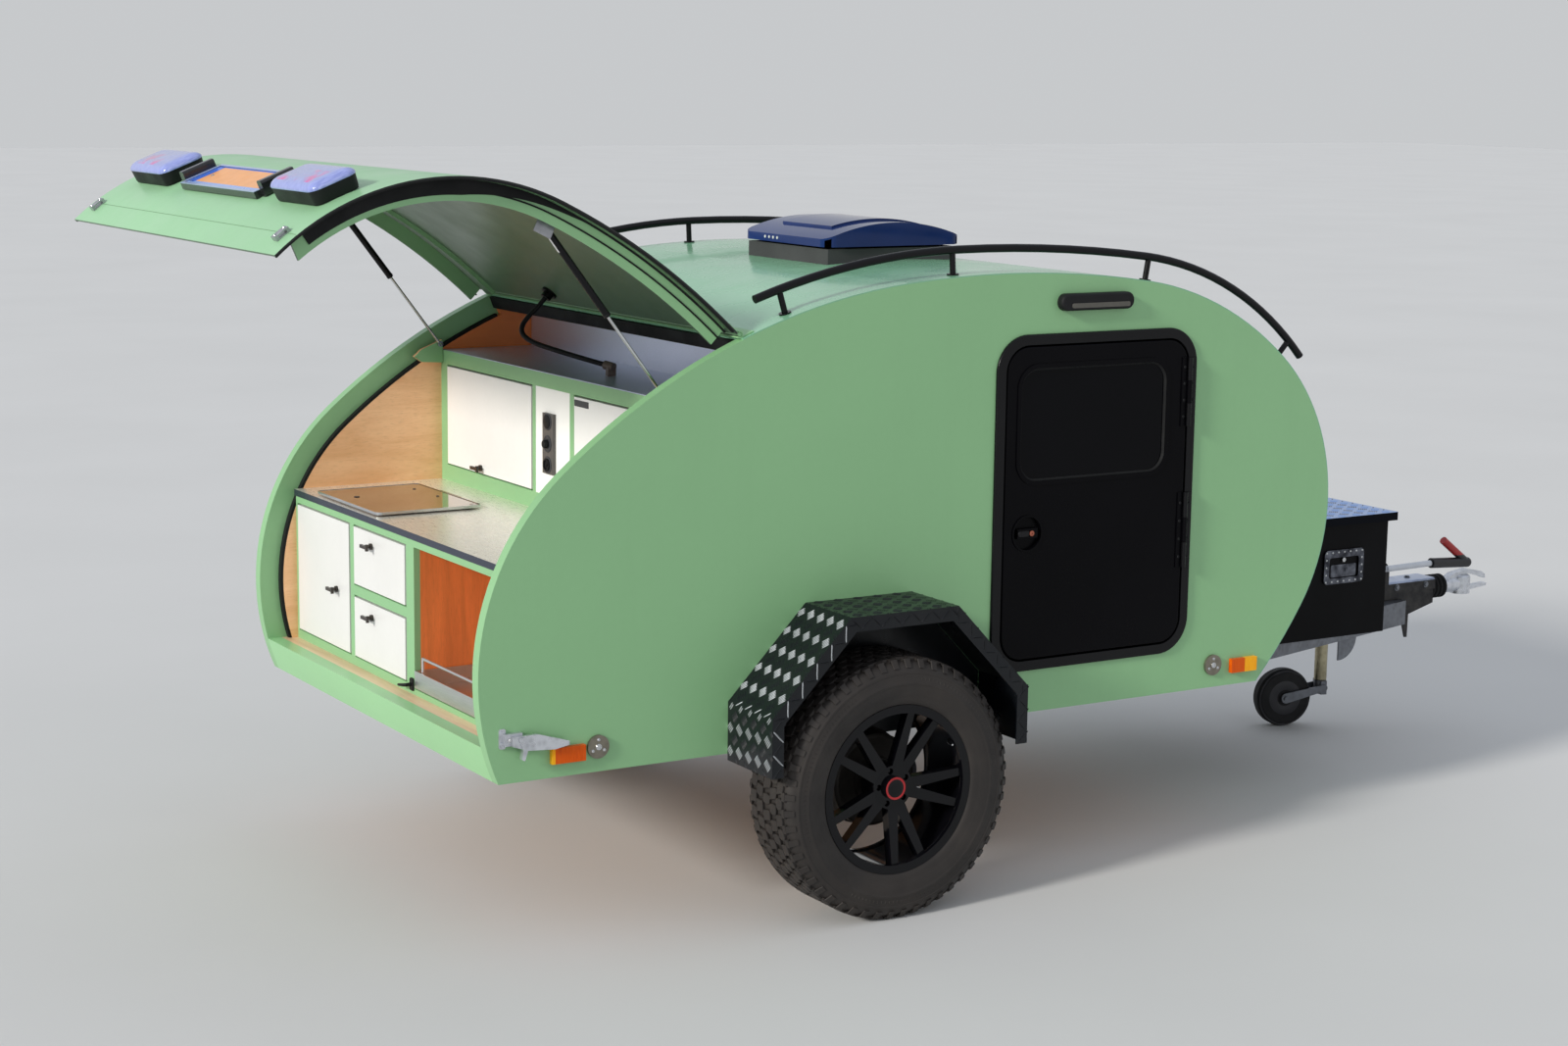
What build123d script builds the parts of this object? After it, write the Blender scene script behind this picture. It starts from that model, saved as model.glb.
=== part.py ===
from build123d import *
import os
from math import cos, sin, tan, radians, degrees, hypot

# Teardrop trailer, in millimetres: +X forward to the coupling, +Y left, +Z up, floor at z = 0.
# It is drawn with x = 0 at the rear lower corner of the side walls and moved to its middle at the end.

# Body shell
BODY_WIDTH = 1490
BODY_BOTTOM = 440
WALL = 33
LINING = 18
ROOF_CORE = 30
ROOF_SKIN = 3
FLOOR_THICK = 30
PANEL_PLAY = 1
LEDGE_RISE = 60
LEDGE_THICK = 12
OUTLINE_START = (1.5, 440.8)
OUTLINE_HEADING = 113.1
# Side outline from the rear lower corner, over the roof, to the front: radius, sweep in degrees
OUTLINE_ARCS = ((645, 72.2), (1803, 35.0), (3161, 14.2), (958, 33.1), (559, 80.7), (1424, 10.7))
OUTLINE_LEAD = 14
BEYOND = 9000

# Rear hatch, its rebate and its slotted-barrel hinge
HINGE_STATION = 1405
HINGE_RISE = 13
HATCH_OPEN = 66.25
HATCH_GAP = 5
HATCH_SKIN = 4
HATCH_CORE = 13
HATCH_CLEAR = 44
HATCH_LIP = 8
HATCH_LIP_DEPTH = 50
HATCH_RIB = 20
HATCH_RIB_WIDTH = 45
HATCH_RIB_SET = 54
HATCH_SET = 12
CORE_SET = 30
REBATE = 63
SEAL = 8
HINGE_BARREL = 10
HINGE_BORE = 6
HINGE_ROD = 5
HINGE_LEAF = 3
HINGE_STRIP = 40
HINGE_FOOT = 30
HINGE_WEB = 22
HINGE_PAD = 24
HINGE_END = 10
HINGE_SLOT_MARGIN = (20, 34)

# Fittings on the hatch skin, as stations up the outline and half spacings
LAMP_STATION = 278
LAMP_Y = 520
LAMP_SIZE = (124, 282)
LAMP_BASE = 35
LAMP_LENS = 20
LAMP_CORNER = 30
LAMP_OVERHANG = 3
PLATE_SIZE = (122, 530, 18)
PLATE_RIM = 8
PLATE_LAMP = (90, 28, 40)
STRIKE_STATION = 108
STRIKE_SET = 70
STRIKE_SIZE = (40, 26, 12)
STRIKE_LEG = 8

# Gas struts: their upper and lower eyes as x and z with the hatch open
STRUT_TOP = (165, 1778)
STRUT_FOOT = (490, 1356)
STRUT_SET = 30
STRUT_CYLINDER = 284
STRUT_RADIUS = 9
STRUT_ROD = 4
STRUT_BORE_START = 40
STRUT_INSERT = 30
STRUT_STATION = 824
EYE_RADIUS = 8
EYE_HALF = 5
EYE_BORE = 3.5
STUD_RADIUS = 3
BRACKET_SHEET = 3
BRACKET_GAP = 2
BRACKET_PLATE = (50, 76)
BRACKET_FOOT = (60, 30)
BRACKET_FOOT_SET = 12
# Lower bracket and its wooden block, as x and z from the strut's lower eye
GUSSET = ((-73, -36), (-50, -16), (15, 10), (15, -56), (-50, -52))

# Conduit between the hatch gland and the shelf gland
GLAND_Y = 170
GLAND_RADIUS = 15
GLAND_LENGTH = 22
GLAND_NUT = 23
GLAND_STATION = 1325
SHELF_GLAND = (12, 30)
CONDUIT_RADIUS = 7
CONDUIT_EXIT = 34
CONDUIT_POINTS = (
    (530, 171, 1474),
    (508, 167, 1448),
    (502, 145, 1426),
    (517, 106, 1409),
    (544, 54, 1397),
    (570, 0, 1386),
    (596, -53, 1376),
    (622, -108, 1366),
)

# Doors
DOOR_X = 1786
DOOR_Z = 1012.5
DOOR_WIDTH = 676
DOOR_HEIGHT = 911
DOOR_RADIUS = 100
DOOR_FRAME = 28
DOOR_PROUD = 8
DOOR_GAP = 5
DOOR_THICK = 36
DOOR_ROUND = 4
WINDOW_X = 1771.5
WINDOW_Z = 1226.5
WINDOW_WIDTH = 491
WINDOW_HEIGHT = 303
WINDOW_RADIUS = 55
WINDOW_BEZEL = 12
BEZEL_PROUD = 3
GLASS = 5
GLASS_SET = 6
LATCH_SET = 76
LATCH_Z = 935
LATCH_RADIUS = 45
LATCH_RIM = 5
LATCH_DISH = 12
LATCH_BAR = (66, 9, 26)
# Door hinges as middle height and length
DOOR_HINGES = ((1290, 190), (905, 210))
KNUCKLE = 7
KNUCKLE_PLAY = 1
KNUCKLE_LEAF = 3
KNUCKLE_REACH = 24

# Wheels and axle
WHEEL_X = 1030
TYRE_RADIUS = 343
TYRE_WIDTH = 206
TYRE_CROWN = 72
TYRE_SHOULDER = 22
TYRE_BULGE = 14
TYRE_BEAD = 4
RIM_RADIUS = 221
RIM_LIP = 10
RIM_WALL = 12
RIM_INSET = 14
WHEEL_GAP = 10
SPOKE_PAIRS = 5
SPOKE_START = 66
SPOKE_LEAN = 12
SPOKE_ROOT = 34
SPOKE_TIP = 20
SPOKE_DISH = 26
SPOKE_THICK = 28
HUB_RADIUS = 58
HUB_DEPTH = 34
CAP_RADIUS = 31
CAP_PROUD = 12
LUG_CIRCLE = 44
LUG_RADIUS = 8
AXLE_BEAM = 70
AXLE_AHEAD = 150
AXLE_SET = 40
ARM_THICK = 34
ARM_EYE = 46
ARM_END = 40
SPINDLE = 22
SPINDLE_REACH = 24

# Fenders: outline of the inner face as x from the wheel centre and height
FENDER_WIDTH = 218
FENDER_SHEET = 4
FENDER_LIP = 38
FENDER_FOOT = 385
FENDER_FOOT_LOW = 423
FENDER_KNEE = 574
FENDER_SHOULDER = 161
FENDER_TOP = 805
FENDER_LIP_FOOT = 34

# Chassis
RAIL_HEIGHT = 80
RAIL_WIDTH = 50
RAIL_Y = 420
RAIL_REAR = 160
RAIL_FRONT = 2300
RAIL_LAP = 60
DRAWBAR_FRONT = 3640
DRAWBAR_Y = 62
CROSS_RAILS = (200, 1480, 2270)
CROSS_WIDTH = 50
CROSS_HEIGHT = 60
BOX_BEARER = 40
BOX_BEARER_HALF = 300
BOX_BEARER_SET = 60
STEP_X = 3290
STEP_Y = 122
STEP_RADIUS = 75
STEP_SHEET = 6

# Coupling: overrun housing, bellows, head and handbrake
HOUSING = (3420, 3783)
HOUSING_WIDTH = 96
HOUSING_TOP = 503
HOUSING_COVER = 37
HOUSING_LOW = 378
HOUSING_NOSE_LOW = 417
PLUG_PLATE = ((3661, 430), (3712, 430), (3710, 299), (3700, 299))
PLUG_SHEET = 6
BELLOWS_LENGTH = 70
BELLOWS_RADIUS = 40
BELLOWS_FOLDS = 4
BELLOWS_CREASE = 7
HEAD_Z = 463
HEAD_NECK = 27
BALL_X = 3945
BALL_Z = 452
BALL_RADIUS = 25.5
CUP_WALL = 9
CUP_LOW = 430
CUP_TOP = 492
GRIP_OUTLINE = (
    (3872, 482), (3900, 500), (3968, 511), (4030, 498), (4047, 487), (4049, 473),
    (4037, 478), (3968, 496), (3925, 486),
)
GRIP_WIDTH = 30
TONGUE_OUTLINE = ((3960, 437), (4056, 447), (4059, 456), (3960, 450))
TONGUE_WIDTH = 26
BRAKE_SET = 12
BRAKE_POINTS = ((3548, 554), (3746, 557), (3910, 547), (3797, 630))
BRAKE_RADII = (10, 17, 13)
BRAKE_POST = (3536, 3572)

# Box on the drawbar
BOX_REAR = 2665
BOX_FRONT = 3164
BOX_HALF = 450
BOX_LIFT = 16
BOX_TOP = 824
BOX_SHEET = 3
LID_LIP = 26
LID_TOP = 832
LID_OVER = 20
LID_KNUCKLE = 4
LID_HINGE_HALF = 200
PADDLE_X = 2984
PADDLE_Z = 676
PADDLE_SIZE = (160, 105)
PADDLE_DISH = (120, 64)
PADDLE_PROUD = 6

# Jockey wheel
JOCKEY_X = 3472
JOCKEY_Y = 150
JOCKEY_TURN = 15
JOCKEY_TRAIL = 140
JOCKEY_RADIUS = 97
JOCKEY_WIDTH = 50
JOCKEY_TUBE = 27
JOCKEY_TUBE_WALL = 4
JOCKEY_LEG = 21
JOCKEY_TUBE_Z = (330, 640)
JOCKEY_LEG_TOP = 540
JOCKEY_FOOT = 150
JOCKEY_PIN = 9
JOCKEY_FIT = 0.5
JOCKEY_ARM = 5
CLAMP_Z = (380, 430)
CLAMP_HALF = 30
CRANK_RISE = 44
CRANK_REACH = 90
CRANK_ARM = 7
CRANK_GRIP = 9

# Galley
CABINET_X = 55
CABINET_DEPTH = 505
WORKTOP_LAP = 5
WORKTOP_RISE = 519
WORKTOP_THICK = 18
UPPER_X = 507
UPPER_RISE = 377
UPPER_DEPTH = 293
FRAME_THICK = 18
BOARD = 15
FRONT_THICK = 16
FRONT_GAP = 5
FRONT_PROUD = 2
BOTTOM_RAIL = 24
TOP_RAIL = 20
END_STILE = 12
CABINET_DOOR_WIDTH = 384
DOOR_STILE = 26
DRAWER_WIDTH = 352
BAY_STILE = 50
LOWER_DRAWER_HEIGHT = 173
DRAWER_RAIL = 27
DRAWER_DEPTH = 400
DRAWER_WALL = 10
DRAWER_SET = 22
UPPER_END = 41
UPPER_LOW_RAIL = 46
UPPER_TOP_RAIL = 39
FLAP_WIDTH = 558
FLAP_STILE = 18
SOCKET_PANEL = 205
SOCKET_STILE = 25
SOCKET_STRIP = (62, 164, 9)
SOCKET_DROP = 66
SOCKET_SET = 91
CATCH_BASE = 9
CATCH_REACH = 18
CATCH_BAR = (44, 9, 7)
CATCH_DROP = 41
CATCH_SHIFT = 45
TRAY_DEPTH = 440
TRAY_SHEET = 3
TRAY_HEIGHT = 46
TRAY_RAIL = 82
TRAY_WIRE = 4
TRAY_PLAY = 5
TRAY_INSET = 30
BASIN = (95, 345, 300, 540)
BASIN_DEPTH = 110
BASIN_SHEET = 3
HOB_LID = (66, 375, 135, 568)
HOB_LID_THICK = 6
HOB_LID_LIFT = 5
HOB_LID_CORNER = 18
SHELF_SHEET = 2

# Roof
VENT_X = 1468
VENT_HALF = 225
VENT_TOP = 1742
VENT_LOW = 1671
VENT_SKIRT = 22
VENT_WALL = 4
VENT_CORNER = 34
VENT_PANEL = (150, 130, 6)
VENT_CURB = 106
VENT_CURB_TOP = 1665
VENT_WELL = 200
VENT_CURB_INNER = 192
VENT_CURB_SET = 12
VENT_PIN = (6, 3)
VENT_HINGE = (30, 90)
VENT_BRACKET = 8
RAIL_TUBE = 11
RAIL_POST = 8
ROOF_RAIL_SET = 45
ROOF_RAIL_RISE = 68
RAIL_POSTS = (1562, 2080, 2720, 3262)
RAIL_OVERHANG = (72, 58)

# Lamps, discs and latches on the side walls
MARKER_X = (186, 2334.5)
MARKER_SIZE = (92, 40, 14)
MARKER_Z = 496
PORCH_LAMP = (1764, 1550, 244, 46, 24)
TIE_DISCS = ((270, 504), (2225, 505))
TIE_RADIUS = 29.5
TIE_THICK = 8
TIE_BORE = 5
LATCH_PLATE = (2, 20, 528, 578)
LATCH_BODY = (12, 60, 536, 566)
LATCH_ARM = ((30, 560), (96, 560), (182, 534), (182, 524), (144, 517), (70, 522), (30, 536))
LATCH_LUG = ((44, 556), (60, 556), (68, 522), (60, 498), (52, 502), (56, 524))
LATCH_ARM_SPAN = (14, 24)
LATCH_SHEET = 4
LATCH_RIVET = 6

HALF = BODY_WIDTH / 2
INNER = HALF - WALL
CABIN = INNER - LINING
FLOOR_TOP = BODY_BOTTOM + FLOOR_THICK
LEDGE_HEIGHT = FLOOR_TOP + LEDGE_RISE
HATCH_BOTTOM = BODY_BOTTOM + HATCH_CLEAR
WORKTOP_TOP = BODY_BOTTOM + WORKTOP_RISE
WORKTOP_LOW = WORKTOP_TOP - WORKTOP_THICK
WORKTOP_X = CABINET_X - WORKTOP_LAP
UPPER_TOP = WORKTOP_TOP + UPPER_RISE
UPPER_BACK = UPPER_X + UPPER_DEPTH
CABINET_BACK = CABINET_X + CABINET_DEPTH
STRUT_Y = CABIN - STRUT_SET
BOX_BOTTOM = BODY_BOTTOM + BOX_LIFT
RAIL_LOW = BODY_BOTTOM - RAIL_HEIGHT
BELLOWS_END = HOUSING[1] + BELLOWS_LENGTH
DOOR_FACE = HALF + DOOR_PROUD
DOOR_MARGIN = DOOR_FRAME + DOOR_GAP
DOOR_HINGE_X = DOOR_X + DOOR_WIDTH / 2 - DOOR_FRAME - DOOR_GAP / 2
WHEEL_Y = HALF + WHEEL_GAP + TYRE_WIDTH / 2

# Cabinet fronts and the open bay as y low, y high, z low, z high
FRONT_LOW = LEDGE_HEIGHT + BOTTOM_RAIL
FRONT_HIGH = WORKTOP_LOW - TOP_RAIL
DOOR_LEFT = CABIN - END_STILE
DRAWER_LEFT = DOOR_LEFT - CABINET_DOOR_WIDTH - DOOR_STILE
DRAWER_RIGHT = DRAWER_LEFT - DRAWER_WIDTH
BAY_LEFT = DRAWER_RIGHT - BAY_STILE
DRAWER_SPLIT = FRONT_LOW + LOWER_DRAWER_HEIGHT
LOWER_FRONTS = {
    "cabinet_door": (DOOR_LEFT - CABINET_DOOR_WIDTH, DOOR_LEFT, FRONT_LOW, FRONT_HIGH),
    "drawer_upper": (DRAWER_RIGHT, DRAWER_LEFT, DRAWER_SPLIT + DRAWER_RAIL, FRONT_HIGH),
    "drawer_lower": (DRAWER_RIGHT, DRAWER_LEFT, FRONT_LOW, DRAWER_SPLIT),
}
LOWER_BAY = (END_STILE - CABIN, BAY_LEFT, LEDGE_HEIGHT + BOARD, FRONT_HIGH)
FLAP_LOW = WORKTOP_TOP + UPPER_LOW_RAIL
FLAP_HIGH = UPPER_TOP - UPPER_TOP_RAIL
FLAP_LEFT = CABIN - UPPER_END
PANEL_LEFT = FLAP_LEFT - FLAP_WIDTH - FLAP_STILE
UPPER_FRONTS = {
    "flap_left": (FLAP_LEFT - FLAP_WIDTH, FLAP_LEFT, FLAP_LOW, FLAP_HIGH),
    "flap_right": (-FLAP_LEFT, PANEL_LEFT - SOCKET_PANEL - SOCKET_STILE, FLAP_LOW, FLAP_HIGH),
}
UPPER_PANEL = (PANEL_LEFT - SOCKET_PANEL, PANEL_LEFT, FLAP_LOW, FLAP_HIGH)


def across(shape, y_low, y_high):
    """Fills a flat shape drawn in x and z from y_low to y_high."""
    return extrude(Plane.XZ.offset(-y_high) * shape, y_high - y_low)


def upright(shape, z_low, z_high):
    """Fills a flat shape drawn in x and y from z_low to z_high."""
    return extrude(Plane.XY.offset(z_low) * shape, z_high - z_low)


def block(x_low, x_high, y_low, y_high, z_low, z_high):
    """A box between pairs of limits."""
    size = (x_high - x_low, y_high - y_low, z_high - z_low)
    middle = ((x_low + x_high) / 2, (y_low + y_high) / 2, (z_low + z_high) / 2)
    return Pos(*middle) * Box(*size)


def window(x, z, width, height, radius):
    """A rounded opening drawn in x and z."""
    return Pos(x, z) * RectangleRounded(width, height, radius)


def outlined(points):
    """A flat shape inside a list of corners."""
    return make_face(Polyline(*points, close=True))


def rod(start, end, radius):
    """A round bar between two points."""
    line = Edge.make_line(start, end)
    return extrude(Plane(origin=start, z_dir=line % 0) * Circle(radius), line.length)


def cross_rod(x, z, y_low, y_high, radius):
    """A round bar across the trailer."""
    return rod((x, y_low, z), (x, y_high, z), radius)


def mirrored(piece):
    """The same piece on the other side of the middle plane."""
    return mirror(piece, Plane.XZ)


def outline_spans(inset):
    """Start, middle and end of each arc of the side outline, moved inward by inset."""
    heading = OUTLINE_HEADING
    x, z = OUTLINE_START
    spans = []
    for number, (radius, sweep) in enumerate(OUTLINE_ARCS):
        centre_x = x + radius * sin(radians(heading))
        centre_z = z - radius * cos(radians(heading))
        first = -OUTLINE_LEAD if number == 0 else 0
        last = sweep + (OUTLINE_LEAD if number == len(OUTLINE_ARCS) - 1 else 0)
        points = []
        for turn in (first, (first + last) / 2, last):
            angle = radians(heading - turn)
            reach = radius - inset
            points.append((centre_x - reach * sin(angle), centre_z + reach * cos(angle)))
        spans.append(points)
        x = centre_x - radius * sin(radians(heading - sweep))
        z = centre_z + radius * cos(radians(heading - sweep))
        heading -= sweep
    return spans


def outline_face(inset, bottom=BODY_BOTTOM):
    """The side outline moved inward by inset, cut level at the bottom."""
    spans = outline_spans(inset)
    edges = [ThreePointArc(*points) for points in spans]
    edges.append(Line(spans[-1][2], spans[0][0]))
    keep = Pos(0, bottom) * Rectangle(BEYOND, BEYOND, align=(Align.CENTER, Align.MIN))
    return make_face(edges) & keep


def band(outer, inner, bottom=BODY_BOTTOM):
    """The strip between two insets of the side outline."""
    return outline_face(outer, bottom) - outline_face(inner, bottom)


def station(distance, outset=0):
    """Point and heading on the side outline at a distance from its rear lower corner."""
    heading = OUTLINE_HEADING
    x, z = OUTLINE_START
    for radius, sweep in OUTLINE_ARCS:
        turn = min(degrees(distance / radius), sweep)
        centre_x = x + radius * sin(radians(heading))
        centre_z = z - radius * cos(radians(heading))
        heading -= turn
        x = centre_x - radius * sin(radians(heading))
        z = centre_z + radius * cos(radians(heading))
        distance -= radians(turn) * radius
        if turn < sweep:
            break
    along = radians(heading)
    return x - outset * sin(along), z + outset * cos(along), heading


def station_point(distance, outset):
    """A point in x and z, outset from the side outline."""
    x, z, _ = station(distance, outset)
    return x, z


def station_plane(distance, outset=0):
    """A plane on the side outline: x up the outline, y across to the left, z out of the body."""
    x, z, heading = station(distance, outset)
    along = radians(heading)
    up = (cos(along), 0, sin(along))
    out = (-sin(along), 0, cos(along))
    return Plane(origin=(x, 0, z), x_dir=up, z_dir=out)


PIN_X, PIN_Z, PIN_HEADING = station(HINGE_STATION, HINGE_RISE)


def split_point(reach):
    """A point on the line through the hinge pin square to the outline, reach inward."""
    along = radians(PIN_HEADING)
    return PIN_X + reach * sin(along), PIN_Z - reach * cos(along)


def rear_zone(bottom, setback=0):
    """Everything behind the hinge line and above a level."""
    along = radians(PIN_HEADING)
    shift_x = -setback * cos(along)
    shift_z = -setback * sin(along)
    high = split_point(-BODY_BOTTOM)
    deep = split_point(BODY_BOTTOM)
    points = (
        (high[0] + shift_x, high[1] + shift_z),
        (deep[0] + shift_x, deep[1] + shift_z),
        (deep[0] + shift_x, bottom),
        (-BEYOND, bottom),
        (-BEYOND, high[1] + shift_z),
    )
    return outlined(points)


def front_zone():
    """Everything ahead of the hinge line."""
    high = split_point(-BODY_BOTTOM)
    deep = split_point(BODY_BOTTOM)
    return outlined((high, deep, (deep[0], 0), (BEYOND, 0), (BEYOND, BEYOND), (high[0], BEYOND)))


def opened(piece):
    """Turns a hatch piece from closed to open about its hinge pin."""
    pin = Axis((PIN_X, 0, PIN_Z), (0, 1, 0))
    return piece.rotate(pin, HATCH_OPEN)


def on_hatch(piece, distance):
    """Places a piece drawn on the hatch skin at a distance up the outline."""
    return opened(station_plane(distance, HATCH_GAP + HATCH_SKIN).location * piece)


def door_outline(margin=0):
    """The door opening drawn in x and z, smaller by margin all round."""
    width = DOOR_WIDTH - 2 * margin
    height = DOOR_HEIGHT - 2 * margin
    return window(DOOR_X, DOOR_Z, width, height, DOOR_RADIUS - margin)


def side_wall():
    """Right side wall: the whole teardrop outline with the door opening."""
    return across(outline_face(0) - door_outline(), -HALF, -INNER)


def wall_linings():
    """Wooden inner faces of both walls, set back at the rear for the hatch."""
    rear = outline_face(REBATE, LEDGE_HEIGHT) & rear_zone(LEDGE_HEIGHT)
    front = outline_face(ROOF_CORE + PANEL_PLAY, FLOOR_TOP) & front_zone()
    lining = across((rear + front) - door_outline(), -INNER, -CABIN)
    return lining + mirrored(lining)


def roof_shell():
    """Curved roof and front between the walls, with a skin over the wall edges."""
    core = across(band(0, ROOF_CORE) & front_zone(), -INNER, INNER)
    skin = across(band(-ROOF_SKIN, 0) & front_zone(), -HALF, HALF)
    well = block(VENT_X - VENT_WELL, VENT_X + VENT_WELL, -VENT_WELL, VENT_WELL, FLOOR_TOP, BEYOND)
    return core + skin - well


def floor_panel():
    """Floor between the walls."""
    slab = Pos(0, BODY_BOTTOM) * Rectangle(BEYOND, 2 * FLOOR_THICK)
    return across(outline_face(ROOF_CORE + PANEL_PLAY) & slab, -INNER, INNER)


def rear_valance():
    """Low rear panel with the level ledge that the hatch closes over."""
    strip = band(0, ROOF_CORE) & (Rectangle(2 * LEDGE_HEIGHT, 2 * LEDGE_HEIGHT))
    reach = CABINET_X + ROOF_CORE
    ledge = Pos(CABINET_X - reach / 2, LEDGE_HEIGHT - LEDGE_THICK / 2) * Rectangle(reach, LEDGE_THICK)
    return across(strip + (ledge & outline_face(0)), -INNER, INNER)


def bulkhead():
    """Partition between galley and cabin, stepped over the worktop."""
    step = WORKTOP_LOW - BOARD
    face = outlined((
        (CABINET_BACK, FLOOR_TOP), (CABINET_BACK, step), (UPPER_BACK, step), (UPPER_BACK, BEYOND),
        (UPPER_BACK + BOARD, BEYOND), (UPPER_BACK + BOARD, step - BOARD),
        (CABINET_BACK + BOARD, step - BOARD), (CABINET_BACK + BOARD, FLOOR_TOP),
    ))
    return across(face & outline_face(ROOF_CORE + PANEL_PLAY), -CABIN, CABIN)


def worktop():
    """Steel worktop with a sunk basin and the hinge feet of its glass lid."""
    top = block(WORKTOP_X, UPPER_BACK, -CABIN, CABIN, WORKTOP_LOW, WORKTOP_TOP)
    x_low, x_high, y_low, y_high = BASIN
    sheet = BASIN_SHEET
    low = WORKTOP_TOP - BASIN_DEPTH
    top += block(x_low, x_high, y_low, y_high, low, WORKTOP_TOP)
    top -= block(x_low + sheet, x_high - sheet, y_low + sheet, y_high - sheet, low + sheet, BEYOND)
    return top + hob_hinge(True)


def hob_hinge(fixed):
    """Knuckles of the glass lid: the outer two stand on the worktop, the inner one is the lid's."""
    _, lid_end, right, left = HOB_LID
    middle = (right + left) / 2
    x = lid_end + LID_KNUCKLE + KNUCKLE_PLAY
    z = WORKTOP_TOP + HOB_LID_LIFT + HOB_LID_THICK / 2
    third = (left - right) / 6
    if not fixed:
        tab = block(lid_end - 1, x, middle - third, middle + third, z - 2, z + 2)
        return tab + cross_rod(x, z, middle - third, middle + third, LID_KNUCKLE)
    piece = Part()
    for low in (middle - 2 * third, middle + third + KNUCKLE_PLAY):
        high = low + third - KNUCKLE_PLAY
        piece += cross_rod(x, z, low, high, LID_KNUCKLE)
        piece += block(x - 2, x + 2, low, high, WORKTOP_TOP - 1, z)
    return piece


def hob_lid():
    """Glass lid over the basin, hinged along its edge towards the cabin."""
    x_low, x_high, y_low, y_high = HOB_LID
    base = WORKTOP_TOP + HOB_LID_LIFT
    plate = block(x_low, x_high, y_low, y_high, base, base + HOB_LID_THICK)
    return fillet(plate.edges().filter_by(Axis.Z), HOB_LID_CORNER) + hob_hinge(False)


def front_hole(limits, face_x):
    """The opening in a cabinet's face frame for one front."""
    y_low, y_high, z_low, z_high = limits
    return block(face_x - BOARD, face_x + 2 * FRAME_THICK, y_low, y_high, z_low, z_high)


def lower_cabinet():
    """Lower cabinet: face frame, floor board and dividers."""
    frame = block(CABINET_X, CABINET_X + FRAME_THICK, -CABIN, CABIN, LEDGE_HEIGHT, WORKTOP_LOW)
    for limits in (*LOWER_FRONTS.values(), LOWER_BAY):
        frame -= front_hole(limits, CABINET_X)
    inside = CABINET_X + FRAME_THICK
    boards = block(inside, CABINET_BACK, -CABIN, CABIN, LEDGE_HEIGHT, LEDGE_HEIGHT + BOARD)
    for y in (DRAWER_LEFT + DOOR_STILE / 2, BAY_LEFT + BOARD / 2):
        boards += block(inside, CABINET_BACK, y - BOARD / 2, y + BOARD / 2, LEDGE_HEIGHT, WORKTOP_LOW)
    return frame + boards


def upper_cabinet():
    """Upper cabinet: face frame with a fixed panel, top, floor and dividers."""
    frame = block(UPPER_X, UPPER_X + FRAME_THICK, -CABIN, CABIN, WORKTOP_TOP, UPPER_TOP)
    for limits in (*UPPER_FRONTS.values(), UPPER_PANEL):
        frame -= front_hole(limits, UPPER_X)
    inside = UPPER_X + FRAME_THICK
    boards = block(inside, UPPER_BACK, -CABIN, CABIN, UPPER_TOP - BOARD, UPPER_TOP)
    boards += block(inside, UPPER_BACK, -CABIN, CABIN, WORKTOP_TOP, WORKTOP_TOP + BOARD)
    for y in (PANEL_LEFT + FLAP_STILE / 2, UPPER_PANEL[0] - SOCKET_STILE / 2):
        boards += block(inside, UPPER_BACK, y - BOARD / 2, y + BOARD / 2, WORKTOP_TOP, UPPER_TOP)
    y_low, y_high, z_low, z_high = UPPER_PANEL
    return frame + boards + block(UPPER_X + 1, UPPER_X + FRONT_THICK, y_low, y_high, z_low, z_high)


def front_panel(limits, face_x):
    """A door or drawer front inside its opening."""
    y_low, y_high, z_low, z_high = limits
    face = face_x - FRONT_PROUD
    gap = FRONT_GAP
    return block(face, face + FRONT_THICK, y_low + gap, y_high - gap, z_low + gap, z_high - gap)


def catch(face_x, y, z):
    """A small turning catch: a round base with a wing-shaped bar."""
    x = face_x - FRONT_PROUD
    length, height, thick = CATCH_BAR
    neck = rod((x, y, z), (x - CATCH_REACH, y, z), height / 2)
    base = rod((x, y, z), (x - thick, y, z), CATCH_BASE)
    bar_x = x - CATCH_REACH
    right = y - length * 0.4
    bar = block(bar_x - thick, bar_x, right, right + length, z - height / 2, z + height / 2)
    thumb = block(bar_x - thick, bar_x, right, right + thick, z - height, z + height)
    return base + neck + bar + thumb


def drawer(limits):
    """Drawer: front, sides, bottom and back as one open box."""
    y_low, y_high, z_low, z_high = limits
    x_low = CABINET_X - FRONT_PROUD + FRONT_THICK
    x_high = x_low + DRAWER_DEPTH
    right = y_low + DRAWER_SET
    left = y_high - DRAWER_SET
    low = z_low + DRAWER_SET
    wall = DRAWER_WALL
    body = block(x_low, x_high, right, left, low, z_high - 2 * DRAWER_SET)
    hollow = block(x_low, x_high - wall, right + wall, left - wall, low + wall, z_high)
    knob = catch(CABINET_X, (y_low + y_high) / 2 + CATCH_SHIFT, z_high - CATCH_DROP)
    return front_panel(limits, CABINET_X) + (body - hollow) + knob


def cabinet_door():
    """Lower cabinet door with its catch."""
    limits = LOWER_FRONTS["cabinet_door"]
    knob = catch(CABINET_X, limits[0] + 2 * CATCH_SHIFT, (limits[2] + limits[3]) / 2 - CATCH_SHIFT / 3)
    return front_panel(limits, CABINET_X) + knob


def flap(name):
    """Upper cabinet flap with its catch."""
    limits = UPPER_FRONTS[name]
    knob = catch(UPPER_X, (limits[0] + limits[1]) / 2 + CATCH_SHIFT, limits[2] + CATCH_DROP / 2)
    return front_panel(limits, UPPER_X) + knob


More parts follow.
